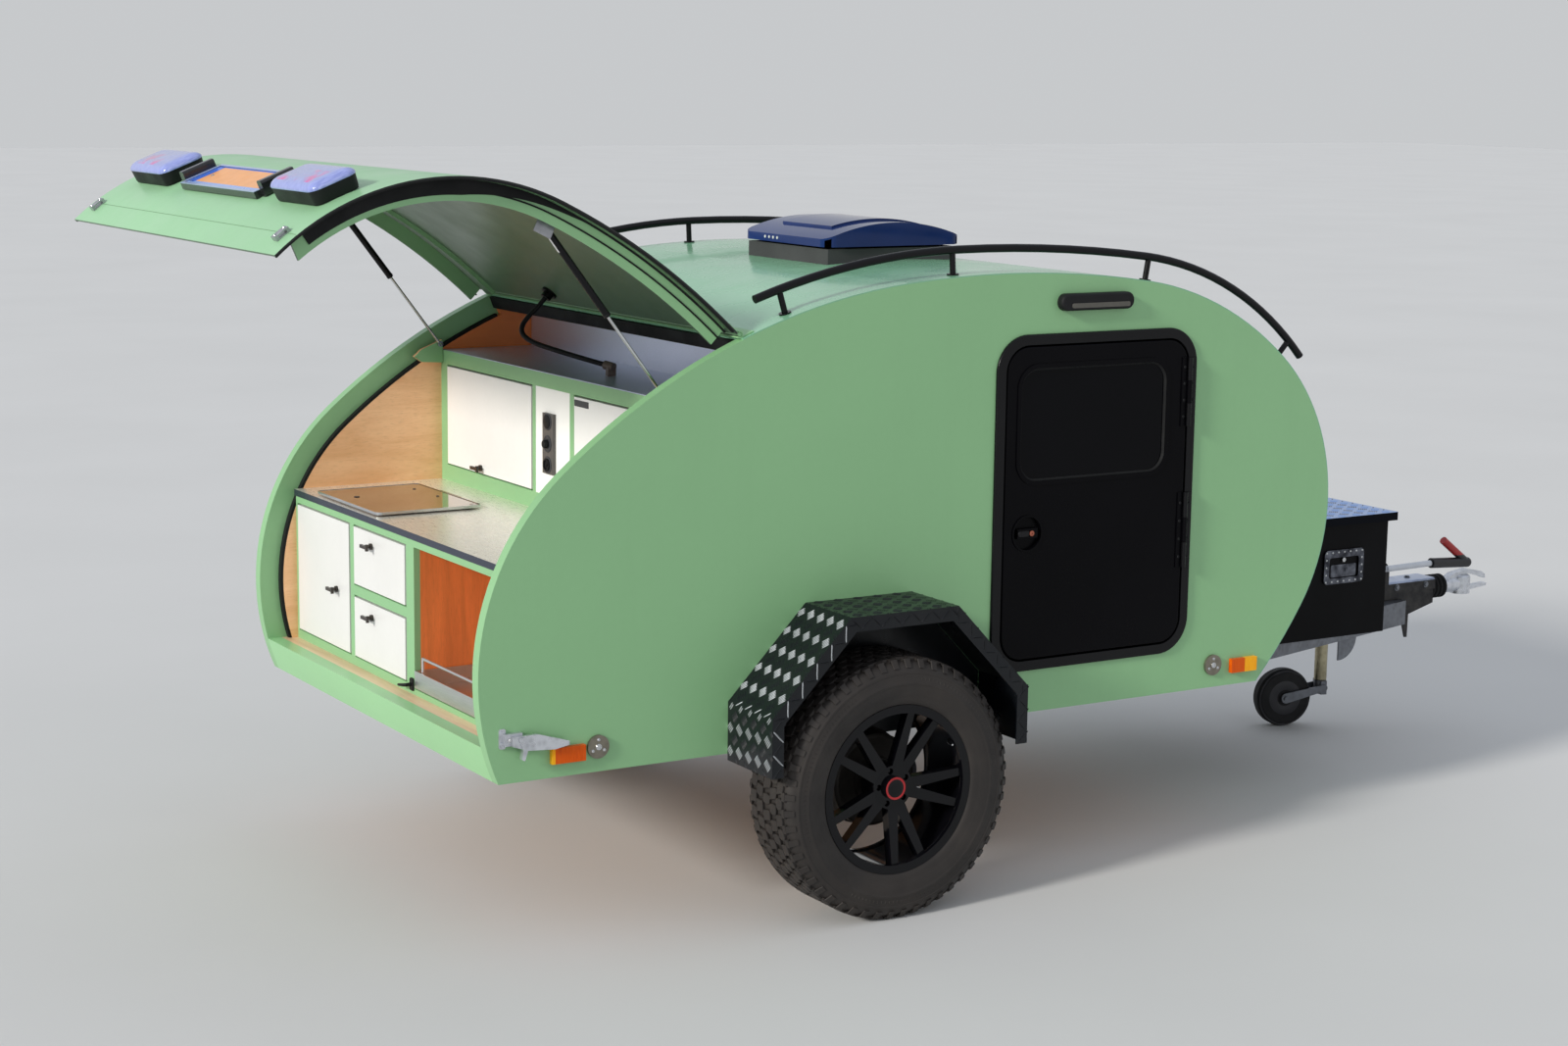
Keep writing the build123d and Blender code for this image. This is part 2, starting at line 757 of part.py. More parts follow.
def pull_out_tray():
    """Aluminium slide-out tray with a front plate, a wire rail and a latch knob."""
    y_low, y_high, z_low, _ = LOWER_BAY
    base = z_low + TRAY_PLAY
    left = y_high - TRAY_PLAY
    right = y_low + TRAY_PLAY
    sheet = TRAY_SHEET
    x = CABINET_X
    end = x + TRAY_DEPTH
    top = base + TRAY_HEIGHT
    tray = block(x - sheet, x, right, left, base, top)
    tray += block(x, end, right, left, base, base + sheet)
    tray += block(x, end, left - sheet, left, base, top)
    tray += block(x, end, right, right + sheet, base, top)
    rail_z = base + TRAY_RAIL
    rail_x = x + 2 * TRAY_WIRE
    ends = (left - TRAY_INSET, right + TRAY_INSET)
    tray += cross_rod(rail_x, rail_z, ends[1], ends[0], TRAY_WIRE)
    for y in ends:
        tray += rod((rail_x, y, base), (rail_x, y, rail_z), TRAY_WIRE)
    return tray


def side_door():
    """Right door leaf: window opening with a raised bezel, dished latch and hinge knuckles."""
    leaf = across(door_outline(DOOR_MARGIN), -DOOR_FACE, -DOOR_FACE + DOOR_THICK)
    leaf = fillet(leaf.faces().sort_by(Axis.Y)[0].edges(), DOOR_ROUND)
    pane = window(WINDOW_X, WINDOW_Z, WINDOW_WIDTH, WINDOW_HEIGHT, WINDOW_RADIUS)
    bezel = offset(pane, WINDOW_BEZEL)
    leaf += across(bezel, -DOOR_FACE - BEZEL_PROUD, -DOOR_FACE + 1)
    leaf -= across(pane, -HALF - DOOR_THICK, -HALF + DOOR_THICK)
    latch_x = DOOR_X - DOOR_WIDTH / 2 + DOOR_MARGIN + LATCH_SET
    face = -DOOR_FACE - BEZEL_PROUD
    leaf += cross_rod(latch_x, LATCH_Z, face, -DOOR_FACE + 1, LATCH_RADIUS + LATCH_RIM)
    leaf -= cross_rod(latch_x, LATCH_Z, face - 1, face + LATCH_DISH, LATCH_RADIUS)
    width, thick, height = LATCH_BAR
    leaf += block(
        latch_x - width / 2, latch_x + width / 2, face, face + LATCH_DISH,
        LATCH_Z - height / 2, LATCH_Z + height / 2,
    )
    leaf += cross_rod(latch_x, LATCH_Z, face, face + LATCH_DISH, thick)
    for middle, length in DOOR_HINGES:
        leaf += door_knuckle(middle, length, False)
    return leaf


def door_knuckle(middle, length, fixed):
    """Half of a right door hinge: two outer knuckles and leaf on the frame, or one on the door."""
    axis_y = -DOOR_FACE - KNUCKLE
    side = 1 if fixed else -1
    reach = DOOR_HINGE_X + side * KNUCKLE_REACH
    start = DOOR_HINGE_X + side * (KNUCKLE + KNUCKLE_PLAY)
    low_y = -DOOR_FACE - KNUCKLE_LEAF
    third = length / 3
    half = length / 2
    inner = half - third
    if fixed:
        spans = ((-half, -inner), (inner, half))
    else:
        spans = ((KNUCKLE_PLAY - inner, inner - KNUCKLE_PLAY),)
    piece = block(min(start, reach), max(start, reach), low_y, -DOOR_FACE, middle - half, middle + half)
    for low, high in spans:
        piece += rod((DOOR_HINGE_X, axis_y, middle + low), (DOOR_HINGE_X, axis_y, middle + high), KNUCKLE)
        ends = sorted((DOOR_HINGE_X, reach))
        piece += block(*ends, low_y - 1, -DOOR_FACE, middle + low, middle + high)
    return piece


def door_glass():
    """Window pane of the right door."""
    face = window(WINDOW_X, WINDOW_Z, WINDOW_WIDTH, WINDOW_HEIGHT, WINDOW_RADIUS)
    return across(face, -DOOR_FACE + GLASS_SET, -DOOR_FACE + GLASS_SET + GLASS)


def door_frames():
    """Both door frames, one rounded ring through each wall, with the fixed hinge halves."""
    frame = across(door_outline(), -DOOR_FACE, -CABIN)
    frame = fillet(frame.faces().sort_by(Axis.Y)[0].edges(), DOOR_ROUND)
    frame -= across(door_outline(DOOR_FRAME), -DOOR_FACE - 1, -CABIN + 1)
    for middle, length in DOOR_HINGES:
        frame += door_knuckle(middle, length, True)
    return frame + mirrored(frame)


def hinge_hook():
    """Section of the hatch half of the hinge: a rod and a web down to the skin."""
    along = radians(PIN_HEADING)
    drop = HINGE_RISE - HATCH_GAP - HATCH_SKIN
    web_end = (
        PIN_X - HINGE_FOOT * cos(along) + drop * sin(along),
        PIN_Z - HINGE_FOOT * sin(along) - drop * cos(along),
    )
    web = Pos(-HINGE_WEB / 2, -1) * Rectangle(HINGE_WEB, HINGE_LEAF)
    web = Pos(PIN_X, PIN_Z) * Rot(0, 0, PIN_HEADING) * web
    foot = Pos(*web_end) * Rot(0, 0, PIN_HEADING) * Rectangle(HINGE_PAD, 2 * drop)
    return (Pos(PIN_X, PIN_Z) * Circle(HINGE_ROD)) + web + foot


def hinge_rail():
    """Fixed half of the hinge: a slotted barrel on a strip along the roof edge."""
    ring = Pos(PIN_X, PIN_Z) * (Circle(HINGE_BARREL) - Circle(HINGE_BORE))
    reach = 3 * HINGE_BARREL
    below, above = HINGE_SLOT_MARGIN
    start = PIN_HEADING + 180 - HATCH_OPEN - below
    end = PIN_HEADING + 180 + above
    points = [(PIN_X, PIN_Z)]
    for angle in (start, (start + end) / 2, end):
        points.append((PIN_X + reach * cos(radians(angle)), PIN_Z + reach * sin(radians(angle))))
    strip_offset = HINGE_BARREL - HINGE_LEAF / 2
    strip = Pos(HINGE_STRIP / 2, -strip_offset) * Rectangle(HINGE_STRIP, HINGE_LEAF)
    strip = Pos(PIN_X, PIN_Z) * Rot(0, 0, PIN_HEADING) * strip
    return across((ring - outlined(points)) + strip, -HALF + HINGE_END, HALF - HINGE_END)


def hatch_shell():
    """Curved hatch: skin, core panel, side lips and ribs."""
    skin_zone = rear_zone(HATCH_BOTTOM, HATCH_SET)
    inner_zone = rear_zone(LEDGE_HEIGHT + LEDGE_THICK, CORE_SET)
    inside = -HATCH_GAP
    skin = across(band(inside - HATCH_SKIN, inside, HATCH_BOTTOM) & skin_zone, -HALF, HALF)
    core_side = INNER - HATCH_GAP - HATCH_LIP
    core = across(band(inside, inside + HATCH_CORE) & inner_zone, -core_side, core_side)
    lip = across(band(inside, HATCH_LIP_DEPTH) & inner_zone, -core_side - HATCH_LIP, -core_side)
    rib_y = HATCH_RIB_SET - CABIN
    rib = across(band(inside + HATCH_CORE, HATCH_RIB) & inner_zone, rib_y, rib_y + HATCH_RIB_WIDTH)
    side = lip + rib
    hook = across(hinge_hook(), -HALF + HINGE_END, HALF - HINGE_END)
    return opened(skin + core + side + mirrored(side) + hook)


def hatch_seal():
    """Rubber seal along the linings and under the hinge."""
    strip = band(REBATE - SEAL, REBATE, LEDGE_HEIGHT) & rear_zone(LEDGE_HEIGHT, HATCH_SET)
    side = across(strip, -INNER, -CABIN)
    top = band(HATCH_SKIN, ROOF_CORE + HINGE_BARREL) & rear_zone(LEDGE_HEIGHT, 0)
    top -= rear_zone(LEDGE_HEIGHT, SEAL)
    return side + mirrored(side) + across(top, -INNER, INNER)


def tail_lamps():
    """Two rear lamp units: a dark base under a domed lens."""
    height, width = LAMP_SIZE
    base = upright(RectangleRounded(height, width, LAMP_CORNER), 0, LAMP_BASE)
    over = 2 * LAMP_OVERHANG
    low = Plane.XY.offset(LAMP_BASE) * RectangleRounded(height + over, width + over, LAMP_CORNER)
    high = Plane.XY.offset(LAMP_BASE + LAMP_LENS) * RectangleRounded(
        height - 2 * LAMP_LENS, width - 2 * LAMP_LENS, LAMP_CORNER)
    lens = loft([low, high])
    lens = fillet(lens.faces().sort_by(Axis.Z)[-1].edges(), LAMP_LENS / 3)
    lamp = Pos(0, LAMP_Y, 0) * (base + lens)
    return on_hatch(lamp + mirrored(lamp), LAMP_STATION)


def plate_holder():
    """Plate holder with two small plate lamps."""
    height, width, thick = PLATE_SIZE
    holder = Pos(0, 0, thick / 2) * Box(*PLATE_SIZE)
    holder -= Pos(0, 0, thick) * Box(height - 2 * PLATE_RIM, width - 2 * PLATE_RIM, thick / 2)
    lamp_height, lamp_width, lamp_rise = PLATE_LAMP
    for side in (-1, 1):
        lamp = Pos(0, side * (width + lamp_width) / 2, lamp_rise / 2) * Box(*PLATE_LAMP)
        holder += fillet(lamp.edges().filter_by(Axis.X), lamp_width / 4)
    return on_hatch(holder, LAMP_STATION)


def strut_point(distance):
    """A point on the strut's line in x and z, from its upper eye."""
    length = hypot(STRUT_FOOT[0] - STRUT_TOP[0], STRUT_FOOT[1] - STRUT_TOP[1])
    share = distance / length
    x = STRUT_TOP[0] + share * (STRUT_FOOT[0] - STRUT_TOP[0])
    z = STRUT_TOP[1] + share * (STRUT_FOOT[1] - STRUT_TOP[1])
    return x, z


def strut_solid(start, end, radius, y):
    """A round length of the strut."""
    x_low, z_low = strut_point(start)
    x_high, z_high = strut_point(end)
    return rod((x_low, y, z_low), (x_high, y, z_high), radius)


def strut_eye(point, y, piece):
    """A strut piece with its eye and the eye's hole."""
    x, z = point
    piece += cross_rod(x, z, y - EYE_HALF, y + EYE_HALF, EYE_RADIUS)
    return piece - cross_rod(x, z, y - EYE_RADIUS, y + EYE_RADIUS, EYE_BORE)


def strut_cylinder(side):
    """Gas strut cylinder with its upper eye."""
    y = side * STRUT_Y
    tube = strut_solid(EYE_RADIUS - 1, STRUT_CYLINDER, STRUT_RADIUS, y)
    bore = strut_solid(STRUT_BORE_START, STRUT_CYLINDER + 1, STRUT_ROD + 1, y)
    return strut_eye(STRUT_TOP, y, tube - bore)


def strut_rod(side):
    """Gas strut rod with its lower eye."""
    y = side * STRUT_Y
    length = hypot(STRUT_FOOT[0] - STRUT_TOP[0], STRUT_FOOT[1] - STRUT_TOP[1])
    bar = strut_solid(STRUT_CYLINDER - STRUT_INSERT, length - EYE_HALF, STRUT_ROD, y)
    return strut_eye(STRUT_FOOT, y, bar)


def hatch_fittings():
    """Strut brackets, latch strikes and the cable gland on the hatch, drawn open."""
    plate_y = STRUT_Y + STRUT_RADIUS + BRACKET_GAP
    sheet = BRACKET_SHEET
    length, height = BRACKET_PLATE
    plate = Pos(0, plate_y + sheet / 2, -STRUT_SET) * Box(length, sheet, height)
    foot = Pos(0, plate_y - BRACKET_FOOT_SET, -sheet / 2) * Box(*BRACKET_FOOT, sheet)
    core = across(band(-HATCH_GAP, HATCH_CORE - HATCH_GAP), -INNER, INNER)
    bracket = opened(station_plane(STRUT_STATION, HATCH_GAP - HATCH_CORE).location * (plate + foot) - core)
    x, z = STRUT_TOP
    pair = bracket + cross_rod(x, z, STRUT_Y - EYE_HALF - 2, plate_y + 1, STUD_RADIUS)
    length, width, thick = STRIKE_SIZE
    strike_y = HALF - STRIKE_SET
    strike = Pos(0, strike_y, thick / 2) * Box(length, width, thick)
    strike -= Pos(0, strike_y, thick / 2) * Box(length - 2 * STRIKE_LEG, 2 * width, thick / 2)
    pair += on_hatch(strike, STRIKE_STATION)
    return pair + mirrored(pair) + hatch_gland()


def hatch_gland():
    """Cable gland on the hatch's inner face."""
    body = Pos(0, GLAND_Y, -GLAND_LENGTH / 2) * Cylinder(GLAND_RADIUS, GLAND_LENGTH)
    nut = Pos(0, GLAND_Y, -GLAND_LENGTH / 6) * Cylinder(GLAND_NUT, GLAND_LENGTH / 3)
    core = across(band(-HATCH_GAP, HATCH_CORE - HATCH_GAP), -INNER, INNER)
    return opened(station_plane(GLAND_STATION, HATCH_GAP - HATCH_CORE).location * (body + nut) - core)


def shelf_liner():
    """Metal lining of the shelf above the upper cabinet."""
    sheet = SHELF_SHEET
    side = CABIN - BRACKET_SHEET
    back_x = UPPER_BACK - sheet - PANEL_PLAY
    floor_sheet = block(UPPER_X + sheet, back_x, -side, side, UPPER_TOP, UPPER_TOP + sheet)
    strip = Pos(back_x, UPPER_TOP) * Rectangle(sheet, BEYOND)
    back = outline_face(ROOF_CORE + BRACKET_SHEET, UPPER_TOP) & strip
    return floor_sheet + across(back, -side, side)


def galley_fittings():
    """Strut brackets on wooden blocks, socket strip and the shelf's cable gland."""
    x, z = STRUT_FOOT
    face = Pos(x, z) * outlined(GUSSET)
    inner = STRUT_Y + STRUT_RADIUS + BRACKET_GAP + BRACKET_SHEET + 1
    plate = across(face, inner, inner + BRACKET_SHEET)
    stud = cross_rod(x, z, STRUT_Y + EYE_HALF + 4, inner + 1, STUD_RADIUS)
    pair = plate + stud + across(face, inner + BRACKET_SHEET, CABIN)
    width, height, thick = SOCKET_STRIP
    left = UPPER_PANEL[1] - SOCKET_SET + width / 2
    top = UPPER_PANEL[3] - SOCKET_DROP
    sockets = block(UPPER_X - thick, UPPER_X + 1, left - width, left, top - height, top)
    before = Vector(*CONDUIT_POINTS[-2])
    end = Vector(*CONDUIT_POINTS[-1])
    along = (end - before).normalized()
    radius, length = SHELF_GLAND
    gland = rod(end, end + along * length, radius)
    foot_top = end + along * (length * 2 / 3)
    gland += upright(
        Pos(foot_top.X, foot_top.Y) * Rectangle(2 * radius, length / 2), UPPER_TOP + SHELF_SHEET, foot_top.Z)
    return pair + mirrored(pair) + sockets + gland


def conduit_exit(reach):
    """A point straight out of the hatch gland, reach beyond its end."""
    plane = station_plane(GLAND_STATION, HATCH_GAP - HATCH_CORE - GLAND_LENGTH - reach)
    return opened(plane.location * (Pos(0, GLAND_Y, 0) * Vertex(0, 0, 0))).center()


def flexible(name, points, radius, thick):
    """A flexible line through points as straight runs joined by tangent arcs."""
    radii = []
    for before, corner, after in zip(points, points[1:], points[2:]):
        first = corner - before
        second = after - corner
        turn = radians(first.get_angle(second))
        radii.append(0.45 * min(first.length, second.length) / tan(turn / 2))
    path = FilletPolyline(*points, radius=radii)
    print(name, "length", round(path.length), "radii", [round(value) for value in radii], "bore", thick)
    section = Plane(origin=path @ 0, z_dir=path % 0) * Circle(radius)
    return sweep(section, path=path)


def conduit():
    """Flexible conduit from the hatch gland to the shelf gland."""
    points = [conduit_exit(0), conduit_exit(CONDUIT_EXIT)]
    points += [Vector(*point) for point in CONDUIT_POINTS]
    return flexible("conduit", points, CONDUIT_RADIUS, 0)


def drawbar_edge(x):
    """Outer edge of the V drawbar, as y at a given x."""
    share = (x - RAIL_FRONT) / (DRAWBAR_FRONT - RAIL_FRONT)
    return RAIL_Y + share * (DRAWBAR_Y - RAIL_Y)


def chassis_frame():
    """Galvanised rails, cross rails and V drawbar under the body."""
    inner = RAIL_Y - RAIL_WIDTH
    frame = block(RAIL_REAR, RAIL_FRONT, inner, RAIL_Y, RAIL_LOW, BODY_BOTTOM)
    bar = outlined((
        (RAIL_FRONT - RAIL_LAP, RAIL_Y), (RAIL_FRONT, RAIL_Y), (DRAWBAR_FRONT, DRAWBAR_Y),
        (DRAWBAR_FRONT, DRAWBAR_Y - RAIL_WIDTH), (RAIL_FRONT - RAIL_LAP, inner),
    ))
    frame += upright(bar, RAIL_LOW, BODY_BOTTOM)
    frame += mirrored(frame)
    half = CROSS_WIDTH / 2
    for x in CROSS_RAILS:
        frame += block(x - half, x + half, -RAIL_Y, RAIL_Y, BODY_BOTTOM - CROSS_HEIGHT, BODY_BOTTOM)
    half = BOX_BEARER / 2
    for x in (BOX_REAR + BOX_BEARER_SET, BOX_FRONT - BOX_BEARER_SET):
        frame += block(x - half, x + half, -BOX_BEARER_HALF, BOX_BEARER_HALF, BODY_BOTTOM, BOX_BOTTOM)
    quarter = (Pos(STEP_X, RAIL_LOW) * Circle(STEP_RADIUS)) & (
        Pos(STEP_X, RAIL_LOW) * Rectangle(STEP_RADIUS, STEP_RADIUS, align=(Align.MIN, Align.MAX)))
    half = STEP_SHEET / 2
    return frame + across(quarter, -STEP_Y - half, -STEP_Y + half)


def axle():
    """Rubber torsion axle: square beam, trailing arms and spindles."""
    beam_x = WHEEL_X + AXLE_AHEAD
    half = AXLE_BEAM / 2
    side = HALF - AXLE_SET
    beam = block(beam_x - half, beam_x + half, -side, side, RAIL_LOW - AXLE_BEAM, RAIL_LOW)
    eyes = Pos(beam_x, RAIL_LOW - half) * Circle(ARM_EYE) + Pos(WHEEL_X, TYRE_RADIUS) * Circle(ARM_END)
    arm = across(make_hull(eyes.edges()), side, side + ARM_THICK)
    pair = arm + cross_rod(WHEEL_X, TYRE_RADIUS, side + ARM_THICK / 2, WHEEL_Y + SPINDLE_REACH, SPINDLE)
    return beam + pair + mirrored(pair)


def revolved(points):
    """A ring turned about the y axis from a section drawn as radius and y."""
    return revolve(Plane.XY * outlined(points), Axis.Y)


def wheel_rim():
    """Right alloy wheel: barrel, five pairs of dished spokes, bored hub and cap."""
    half = TYRE_WIDTH / 2 - RIM_INSET
    seat = RIM_RADIUS - RIM_WALL
    shoulder = half - RIM_LIP
    barrel = revolved((
        (seat - RIM_LIP, -half), (RIM_RADIUS, -half), (RIM_RADIUS, -shoulder), (seat, -shoulder + 6),
        (seat, shoulder - 6), (RIM_RADIUS, shoulder), (RIM_RADIUS, half), (seat - RIM_LIP, half),
        (seat - RIM_LIP, shoulder), (seat - 6, shoulder - RIM_LIP), (seat - 6, -shoulder + RIM_LIP),
        (seat - RIM_LIP, -shoulder),
    ))
    face = Circle(HUB_RADIUS)
    pitch = 360 / SPOKE_PAIRS
    root = SPOKE_ROOT / 2
    tip = SPOKE_TIP / 2
    arm = outlined(((0, -root), (seat, -tip), (seat, tip), (0, root)))
    for number in range(SPOKE_PAIRS):
        for lean in (-SPOKE_LEAN, SPOKE_LEAN):
            face += Rot(0, 0, SPOKE_START + number * pitch + lean) * arm
    face &= Circle(seat - 1)
    for number in range(SPOKE_PAIRS):
        face -= Rot(0, 0, SPOKE_START + (number + 0.5) * pitch) * Pos(LUG_CIRCLE, 0) * Circle(LUG_RADIUS)
    dished = revolved((
        (0, -half + SPOKE_DISH), (HUB_RADIUS, -half + SPOKE_DISH), (seat, -half + RIM_LIP),
        (seat, -half + RIM_LIP + SPOKE_THICK), (HUB_RADIUS, -half + SPOKE_DISH + SPOKE_THICK),
        (0, -half + SPOKE_DISH + SPOKE_THICK),
    ))
    disc = across(face, -half, half) & dished
    mount = -half + SPOKE_DISH + SPOKE_THICK
    hub = cross_rod(0, 0, mount - 1, mount + HUB_DEPTH, HUB_RADIUS)
    hub -= cross_rod(0, 0, mount + SPINDLE / 4, mount + HUB_DEPTH + 1, SPINDLE + 2)
    cap = cross_rod(0, 0, -half + SPOKE_DISH - CAP_PROUD, mount, CAP_RADIUS)
    return Pos(WHEEL_X, -WHEEL_Y, TYRE_RADIUS) * (barrel + disc + hub + cap)


def tyre():
    """Right tyre, a turned section with bulged side walls and a flat crown."""
    half = TYRE_WIDTH / 2
    bead = half - RIM_INSET - 2
    seat = RIM_RADIUS + 0.5
    shoulder = TYRE_RADIUS - TYRE_SHOULDER
    side = [
        (seat, bead), (seat + TYRE_SHOULDER, half - TYRE_BEAD), ((seat + shoulder) / 2, half),
        (shoulder, half - TYRE_BULGE), (TYRE_RADIUS, TYRE_CROWN),
    ]
    section = [(radius, -y) for radius, y in side] + side[::-1]
    return Pos(WHEEL_X, -WHEEL_Y, TYRE_RADIUS) * revolved(section)


def fenders():
    """Both folded fenders over the wheels with a lip along the outer edge."""
    inner = outlined((
        (-FENDER_FOOT, FENDER_FOOT_LOW), (-FENDER_FOOT, FENDER_KNEE), (-FENDER_SHOULDER, FENDER_TOP),
        (FENDER_SHOULDER, FENDER_TOP), (FENDER_FOOT, FENDER_KNEE), (FENDER_FOOT, FENDER_FOOT_LOW),
    ))
    outer = offset(inner, FENDER_SHEET, kind=Kind.INTERSECTION)
    lip_inner = offset(inner, FENDER_SHEET - FENDER_LIP, kind=Kind.INTERSECTION)
    keep = Pos(0, FENDER_FOOT_LOW) * Rectangle(BEYOND, BEYOND, align=(Align.CENTER, Align.MIN))
    open_half = FENDER_FOOT + FENDER_SHEET - FENDER_LIP_FOOT
    opening = Pos(0, FENDER_FOOT_LOW) * Rectangle(
        2 * open_half, FENDER_KNEE - FENDER_FOOT_LOW - FENDER_LIP / 2, align=(Align.CENTER, Align.MIN))
    sheet = (outer & keep) - inner
    lip = (outer & keep) - lip_inner - opening
    edge = -HALF - FENDER_WIDTH
    fender = across(sheet, edge, -HALF) + across(lip, edge, edge + FENDER_SHEET)
    fender = Pos(WHEEL_X, 0, 0) * fender
    return fender + mirrored(fender)


def drawbar_box():
    """Open sheet box with a paddle latch and the fixed knuckles of its lid."""
    sheet = BOX_SHEET
    piece = block(BOX_REAR, BOX_FRONT, -BOX_HALF, BOX_HALF, BOX_BOTTOM, BOX_TOP)
    piece -= block(
        BOX_REAR + sheet, BOX_FRONT - sheet, sheet - BOX_HALF, BOX_HALF - sheet, BOX_BOTTOM + sheet, BEYOND)
    width, height = PADDLE_SIZE
    dish_width, dish_height = PADDLE_DISH
    plate = window(PADDLE_X, PADDLE_Z, width, height, height / 7)
    dish = window(PADDLE_X, PADDLE_Z - sheet, dish_width, dish_height, height / 12)
    paddle = window(PADDLE_X, PADDLE_Z - height / 8, dish_width - height / 6, dish_height * 0.6, height / 20)
    piece += across(plate - dish, -BOX_HALF - PADDLE_PROUD, -BOX_HALF)
    piece += across(paddle, -BOX_HALF - PADDLE_PROUD / 2, -BOX_HALF)
    axis = (BOX_REAR - LID_KNUCKLE, LID_TOP - LID_KNUCKLE)
    for low in (-LID_HINGE_HALF, LID_HINGE_HALF / 2 + KNUCKLE_PLAY):
        high = low + LID_HINGE_HALF / 2 - KNUCKLE_PLAY
        piece += cross_rod(*axis, low, high, LID_KNUCKLE)
        piece += block(BOX_REAR - sheet, BOX_REAR, low, high, BOX_TOP - LID_LIP, LID_TOP - LID_KNUCKLE)
    return piece


def box_lid():
    """Lid with a folded lip on the front and both sides and a middle hinge knuckle."""
    sheet = BOX_SHEET
    rear = BOX_REAR + KNUCKLE_PLAY
    front = BOX_FRONT + LID_OVER
    side = BOX_HALF + LID_OVER
    lid = block(rear, front, -side, side, LID_TOP - LID_LIP, LID_TOP)
    lid -= block(rear - sheet, front - sheet, sheet - side, side - sheet, BODY_BOTTOM, LID_TOP - sheet)
    half = LID_HINGE_HALF / 2 - KNUCKLE_PLAY
    lid += block(BOX_REAR - LID_KNUCKLE, rear + sheet, -half, half, LID_TOP - sheet, LID_TOP)
    return lid + cross_rod(BOX_REAR - LID_KNUCKLE, LID_TOP - LID_KNUCKLE, -half, half, LID_KNUCKLE)


def overrun_housing():
    """Overrun housing on the drawbar with its cover, nose, lever post and plug plate."""
    low, high = HOUSING
    half = HOUSING_WIDTH / 2
    cover = block(low, high, -half, half, HOUSING_TOP - HOUSING_COVER, HOUSING_TOP)
    cover = fillet(cover.edges().filter_by(Axis.X).group_by(Axis.Z)[-1], HOUSING_COVER / 3)
    core_half = half - HOUSING_COVER / 5
    body = block(low, high, -core_half, core_half, BODY_BOTTOM, HOUSING_TOP - HOUSING_COVER / 2)
    nose = across(outlined((
        (DRAWBAR_FRONT, HOUSING_LOW), (high, HOUSING_NOSE_LOW), (high, HOUSING_TOP - HOUSING_COVER),
        (DRAWBAR_FRONT, HOUSING_TOP - HOUSING_COVER),
    )), -core_half, core_half)
    holder = across(outlined(PLUG_PLATE), -PLUG_SHEET / 2, PLUG_SHEET / 2)
    post_low, post_high = BRAKE_POST
    sheet = PLUG_SHEET
    post = block(post_low, post_high, -half, sheet - half, HOUSING_TOP - HOUSING_COVER, BRAKE_POINTS[0][1])
    post += cross_rod(*BRAKE_POINTS[0], -half, sheet - half, (post_high - post_low) / 2)
    return cover + body + nose + holder + post


def bellows():
    """Rubber bellows between housing and coupling head."""
    start = HOUSING[1]
    pitch = BELLOWS_LENGTH / BELLOWS_FOLDS
    points = [(0, start)]
    for number in range(BELLOWS_FOLDS):
        points += [
            (BELLOWS_RADIUS - BELLOWS_CREASE, start + number * pitch),
            (BELLOWS_RADIUS, start + (number + 0.3) * pitch),
            (BELLOWS_RADIUS, start + (number + 0.7) * pitch),
            (BELLOWS_RADIUS - BELLOWS_CREASE, start + (number + 1) * pitch),
        ]
    points += [(0, BELLOWS_END)]
    kept = [point for place, point in enumerate(points) if place == 0 or point != points[place - 1]]
    return Pos(0, 0, HEAD_Z) * Rot(0, 0, -90) * revolved(kept)


def coupling_head():
    """Ball coupling head: neck, ball cup, forward tongue and arched grip."""
    neck = rod((BELLOWS_END, 0, HEAD_Z), (BALL_X, 0, HEAD_Z), HEAD_NECK)
    cup = Pos(BALL_X, 0, (CUP_LOW + CUP_TOP) / 2) * Cylinder(BALL_RADIUS + CUP_WALL, CUP_TOP - CUP_LOW)
    cup = fillet(cup.faces().sort_by(Axis.Z)[-1].edges(), CUP_WALL)
    grip = across(outlined(GRIP_OUTLINE), -GRIP_WIDTH / 2, GRIP_WIDTH / 2)
    tongue = across(outlined(TONGUE_OUTLINE), -TONGUE_WIDTH / 2, TONGUE_WIDTH / 2)
    head = neck + cup + grip + tongue
    head -= Pos(BALL_X, 0, BALL_Z) * Sphere(BALL_RADIUS)
    return head - rod((BALL_X, 0, RAIL_LOW), (BALL_X, 0, BALL_Z), BALL_RADIUS)


def handbrake_lever():
    """Handbrake lever: rod, grip, elbow and raised end."""
    y = -HOUSING_WIDTH / 2 - BRAKE_SET
    places = [(x, y, z) for x, z in BRAKE_POINTS]
    lever = Pos(*places[2]) * Sphere(BRAKE_RADII[1])
    for start, end, radius in zip(places, places[1:], BRAKE_RADII):
        lever += rod(start, end, radius)
    return lever + cross_rod(*BRAKE_POINTS[0], y, -HOUSING_WIDTH / 2, BRAKE_RADII[0])


